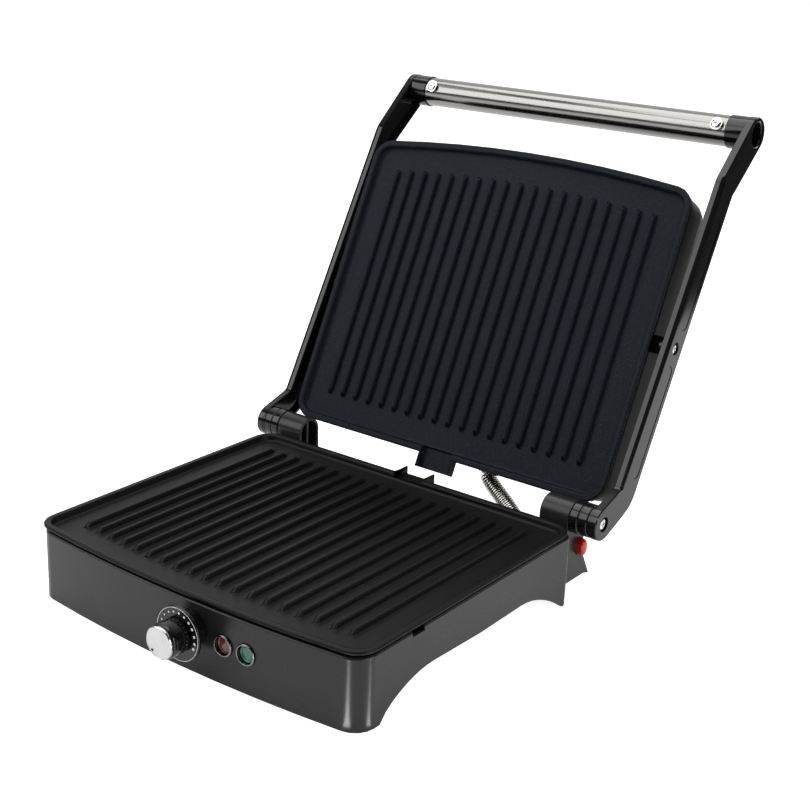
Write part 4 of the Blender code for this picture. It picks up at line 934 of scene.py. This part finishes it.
def makeGuard():
    shape = guardShape
    route = guardRoute()
    length = sum((after - before).length for before, after in zip(route, route[1:]))
    count = shape["curls"] * shape["perCurl"]
    radius = shape["outer"] - shape["wire"]
    across = Vector((1, 0, 0))
    wire = []
    core = []
    for index in range(count + 1):
        spot, ahead = alongRoute(route, shape["inset"] + (length - 2 * shape["inset"]) * index / count)
        across = (across - ahead * across.dot(ahead)).normalized()
        up = ahead.cross(across)
        angle = 2 * pi * index / shape["perCurl"]
        wire.append(spot + across * radius * cos(angle) + up * radius * sin(angle))
        if index % shape["perCurl"] == 0:
            core.append(spot)
    for name, points, thick, resolution, finish, slot, node in (
            ("springGuard", wire, shape["wire"], shape["wireSides"], "springSteel", "spring_steel",
             "spring_guard"),
            ("guardWires", core, shape["core"], shape["coreSides"], "rubber", "black_rubber",
             "guard_core")):
        half = len(points) // 2
        lower = tubeAlong(name + "Lower", points[:half + 1], thick, resolution)
        upper = tubeAlong(name + "Upper", points[half:], thick, resolution)
        finishPiece(lower, finishes[finish], None, slot, node)
        finishPiece(upper, finishes[finish], None, slot, node)
        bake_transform(lower)
        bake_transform(upper)


makeBase()
makePlates()
print("base and plates ready")
makeLid()
makeArms()
makeCollars()
makeHandle()
makeSideScrews()
makeHandleScrews()
print("lid and arms ready")
makeDial()
makeKnob()
makeLamps()
makeButton()
makeGuard()
print("small pieces ready")


# studio
cameraLook = {"lens": 65.46, "sensor": 36, "clip": 0.01, "spot": (0.65277, -0.855078, 0.50486),
              "azimuth": 36.638, "elevation": 19.093, "roll": 2.323}
studio = {"world": 0.42, "gloss": 0.08, "back": (-0.45, 0.75, 0.10), "fadeFrom": 0.2, "fadeTo": 0.75,
          "aim": (0, 0, 0.1), "rough": 0.9,
          "floor": 0.80, "floorGlow": 0.9, "floorSize": 14, "floorCuts": 3, "floorGloss": 0.1,
          "seenGlow": 0.3,
          "card": {"spot": (0.50, 0.62, 0.26), "size": (1.3, 0.50), "grey": 0.01},
          "lamps": (
              {"name": "topSoftbox", "spot": (-0.25, -0.1, 1.9), "size": (2.0, 1.5), "power": 30.0},
              {"name": "leftSoftbox", "spot": (-1.35, -1.45, 1.40), "size": (1.6, 1.5), "power": 25.0},
              {"name": "rightSoftbox", "spot": (1.9, 0.05, 0.52), "size": (1.1, 0.8), "power": 18.0},
              {"name": "backSoftbox", "spot": (1.1, 1.9, 1.1), "size": (0.8, 1.0), "power": 10.0},
          ),
          # narrow lights that lie on the table and show only as streaks on the skirt's front corner
          "cornerRound": 0.016, "sideSpan": 0.0001, "streakHeight": 0.0012,
          "streaks": ({"azimuth": 4.0, "length": 0.110, "width": 0.009, "start": 0.006, "power": 0.050},
                      {"azimuth": 108.0, "length": 0.100, "width": 0.006, "start": 0.006, "power": 0.020})}


def makeCamera():
    data = bpy.data.cameras.new("camera")
    data.lens = cameraLook["lens"]
    data.sensor_width = cameraLook["sensor"]
    data.clip_start = cameraLook["clip"]
    camera = bpy.data.objects.new("camera", data)
    bpy.context.scene.collection.objects.link(camera)
    turn = Matrix.Rotation(radians(cameraLook["azimuth"]), 4, "Z")
    turn = turn @ Matrix.Rotation(radians(90 - cameraLook["elevation"]), 4, "X")
    turn = turn @ Matrix.Rotation(radians(cameraLook["roll"]), 4, "Z")
    camera.matrix_world = Matrix.Translation(cameraLook["spot"]) @ turn
    bpy.context.scene.camera = camera


def makeAreaLamp(name, size, power, matrix):
    data = bpy.data.lights.new(name, "AREA")
    data.shape = "RECTANGLE"
    data.size, data.size_y = size
    data.energy = power
    lamp = bpy.data.objects.new(name, data)
    bpy.context.scene.collection.objects.link(lamp)
    lamp.matrix_world = matrix
    lamp.visible_camera = False
    return lamp


def makeSoftbox(look):
    spot = Vector(look["spot"])
    turn = (spot - Vector(studio["aim"])).to_track_quat("Z", "Y").to_matrix().to_4x4()
    makeAreaLamp(look["name"], look["size"], look["power"], Matrix.Translation(spot) @ turn)


def makeStreak(look, index):
    # a strip on the table in front of the rounded corner of the skirt
    corner = studio["cornerRound"]
    spots = [v.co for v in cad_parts["base_housing"].data.vertices]
    # the end of the side face gives the middle of the corner's round
    side = max(spot.x for spot in spots)
    end = min(spot.y for spot in spots if spot.x > side - studio["sideSpan"])
    turn = radians(look["azimuth"])
    out = Vector((sin(turn), -cos(turn), 0))
    # where the corner mirrors the strip to the camera
    facing = (turn + radians(cameraLook["azimuth"])) / 2
    skin = Vector((side - corner, end, 0)) + Vector((sin(facing), -cos(facing), 0)) * corner
    spot = skin + out * (look["start"] + look["length"] / 2) + Vector((0, 0, studio["streakHeight"]))
    matrix = Matrix.Translation(spot) @ Matrix.Rotation(turn, 4, "Z") @ Matrix.Rotation(pi, 4, "X")
    lamp = makeAreaLamp("tableStrip" + str(index + 1), (look["width"], look["length"]), look["power"],
                        matrix)
    lamp.visible_diffuse = False


def seenShare(tree):
    # 1 for rays from the camera, from gloss and through glass
    rays = addNode(tree, "ShaderNodeLightPath")
    share = addMath(tree, "MAXIMUM", rays.outputs["Is Camera Ray"], rays.outputs["Is Glossy Ray"])
    return addMath(tree, "MAXIMUM", share, rays.outputs["Is Transmission Ray"])


def makeWorld():
    # white behind the object, dimmer for gloss where the studio room would be
    world = bpy.data.worlds.new("studioWorld")
    bpy.context.scene.world = world
    world.use_nodes = True
    tree = world.node_tree
    background = tree.nodes["Background"]
    background.inputs["Color"].default_value = (1, 1, 1, 1)
    rays = addNode(tree, "ShaderNodeLightPath")
    dot = addNode(tree, "ShaderNodeVectorMath", operation="DOT_PRODUCT")
    tree.links.new(addNode(tree, "ShaderNodeTexCoord").outputs["Generated"], dot.inputs[0])
    dot.inputs[1].default_value = Vector(studio["back"]).normalized()
    behind = addNode(tree, "ShaderNodeMapRange", interpolation_type="SMOOTHSTEP")
    tree.links.new(dot.outputs["Value"], behind.inputs["Value"])
    setInputs(behind, {"From Min": studio["fadeFrom"], "From Max": studio["fadeTo"],
                       "To Min": studio["gloss"], "To Max": 1.0})
    gloss = addMath(tree, "MULTIPLY", rays.outputs["Is Glossy Ray"], behind.outputs["Result"])
    clear = addMath(tree, "MAXIMUM", rays.outputs["Is Camera Ray"], rays.outputs["Is Transmission Ray"])
    seen = addMath(tree, "MAXIMUM", clear, gloss)
    plain = addMath(tree, "MULTIPLY", rays.outputs["Is Diffuse Ray"], studio["world"])
    tree.links.new(addMath(tree, "MAXIMUM", seen, plain), background.inputs["Strength"])


def makePlane(name, width, height, cuts=0):
    deselectAll()
    bpy.ops.mesh.primitive_plane_add(size=1, location=(0, 0, 0))
    plane = bpy.context.active_object
    plane.name = name
    bpy.ops.object.mode_set(mode="EDIT")
    bpy.ops.mesh.select_all(action="SELECT")
    bpy.ops.transform.resize(value=(width, height, 1))
    if cuts:
        bpy.ops.mesh.subdivide(number_cuts=cuts)
    bpy.ops.object.mode_set(mode="OBJECT")
    return plane


def makeCard():
    # dark card beside the set that only gloss sees, for the deep black of the arms
    look = studio["card"]
    width, height = look["size"]
    card = makePlane("darkCard", height, width)
    place(card, look["spot"], toRight)
    material, _, shader = newMaterial("cardBlack")
    setInputs(shader, {"Base Color": (look["grey"],) * 3 + (1,), "Roughness": studio["rough"]})
    card.data.materials.append(material)
    card.visible_camera = False
    card.visible_diffuse = False
    card.visible_shadow = False
    card.visible_transmission = False


def makeFloor():
    floor = makePlane("studioFloor", studio["floorSize"], studio["floorSize"], studio["floorCuts"])
    material, tree, shader = newMaterial("paleFloor")
    setInputs(shader, {"Base Color": (studio["floor"],) * 3 + (1,), "Roughness": studio["rough"],
                       "Specular IOR Level": studio["floorGloss"], "Emission Color": (1, 1, 1, 1)})
    rays = addNode(tree, "ShaderNodeLightPath")
    glow = addMath(tree, "MULTIPLY", rays.outputs["Is Camera Ray"], studio["floorGlow"])
    seen = spread(tree, seenShare(tree), 0.0, studio["seenGlow"])
    tree.links.new(addMath(tree, "MAXIMUM", glow, seen), shader.inputs["Emission Strength"])
    floor.data.materials.append(material)


makeCamera()
for boxLook in studio["lamps"]:
    makeSoftbox(boxLook)
for index, streakLook in enumerate(studio["streaks"]):
    makeStreak(streakLook, index)
makeWorld()
makeFloor()
makeCard()
bpy.context.scene.view_settings.view_transform = "Standard"
print("studio ready")
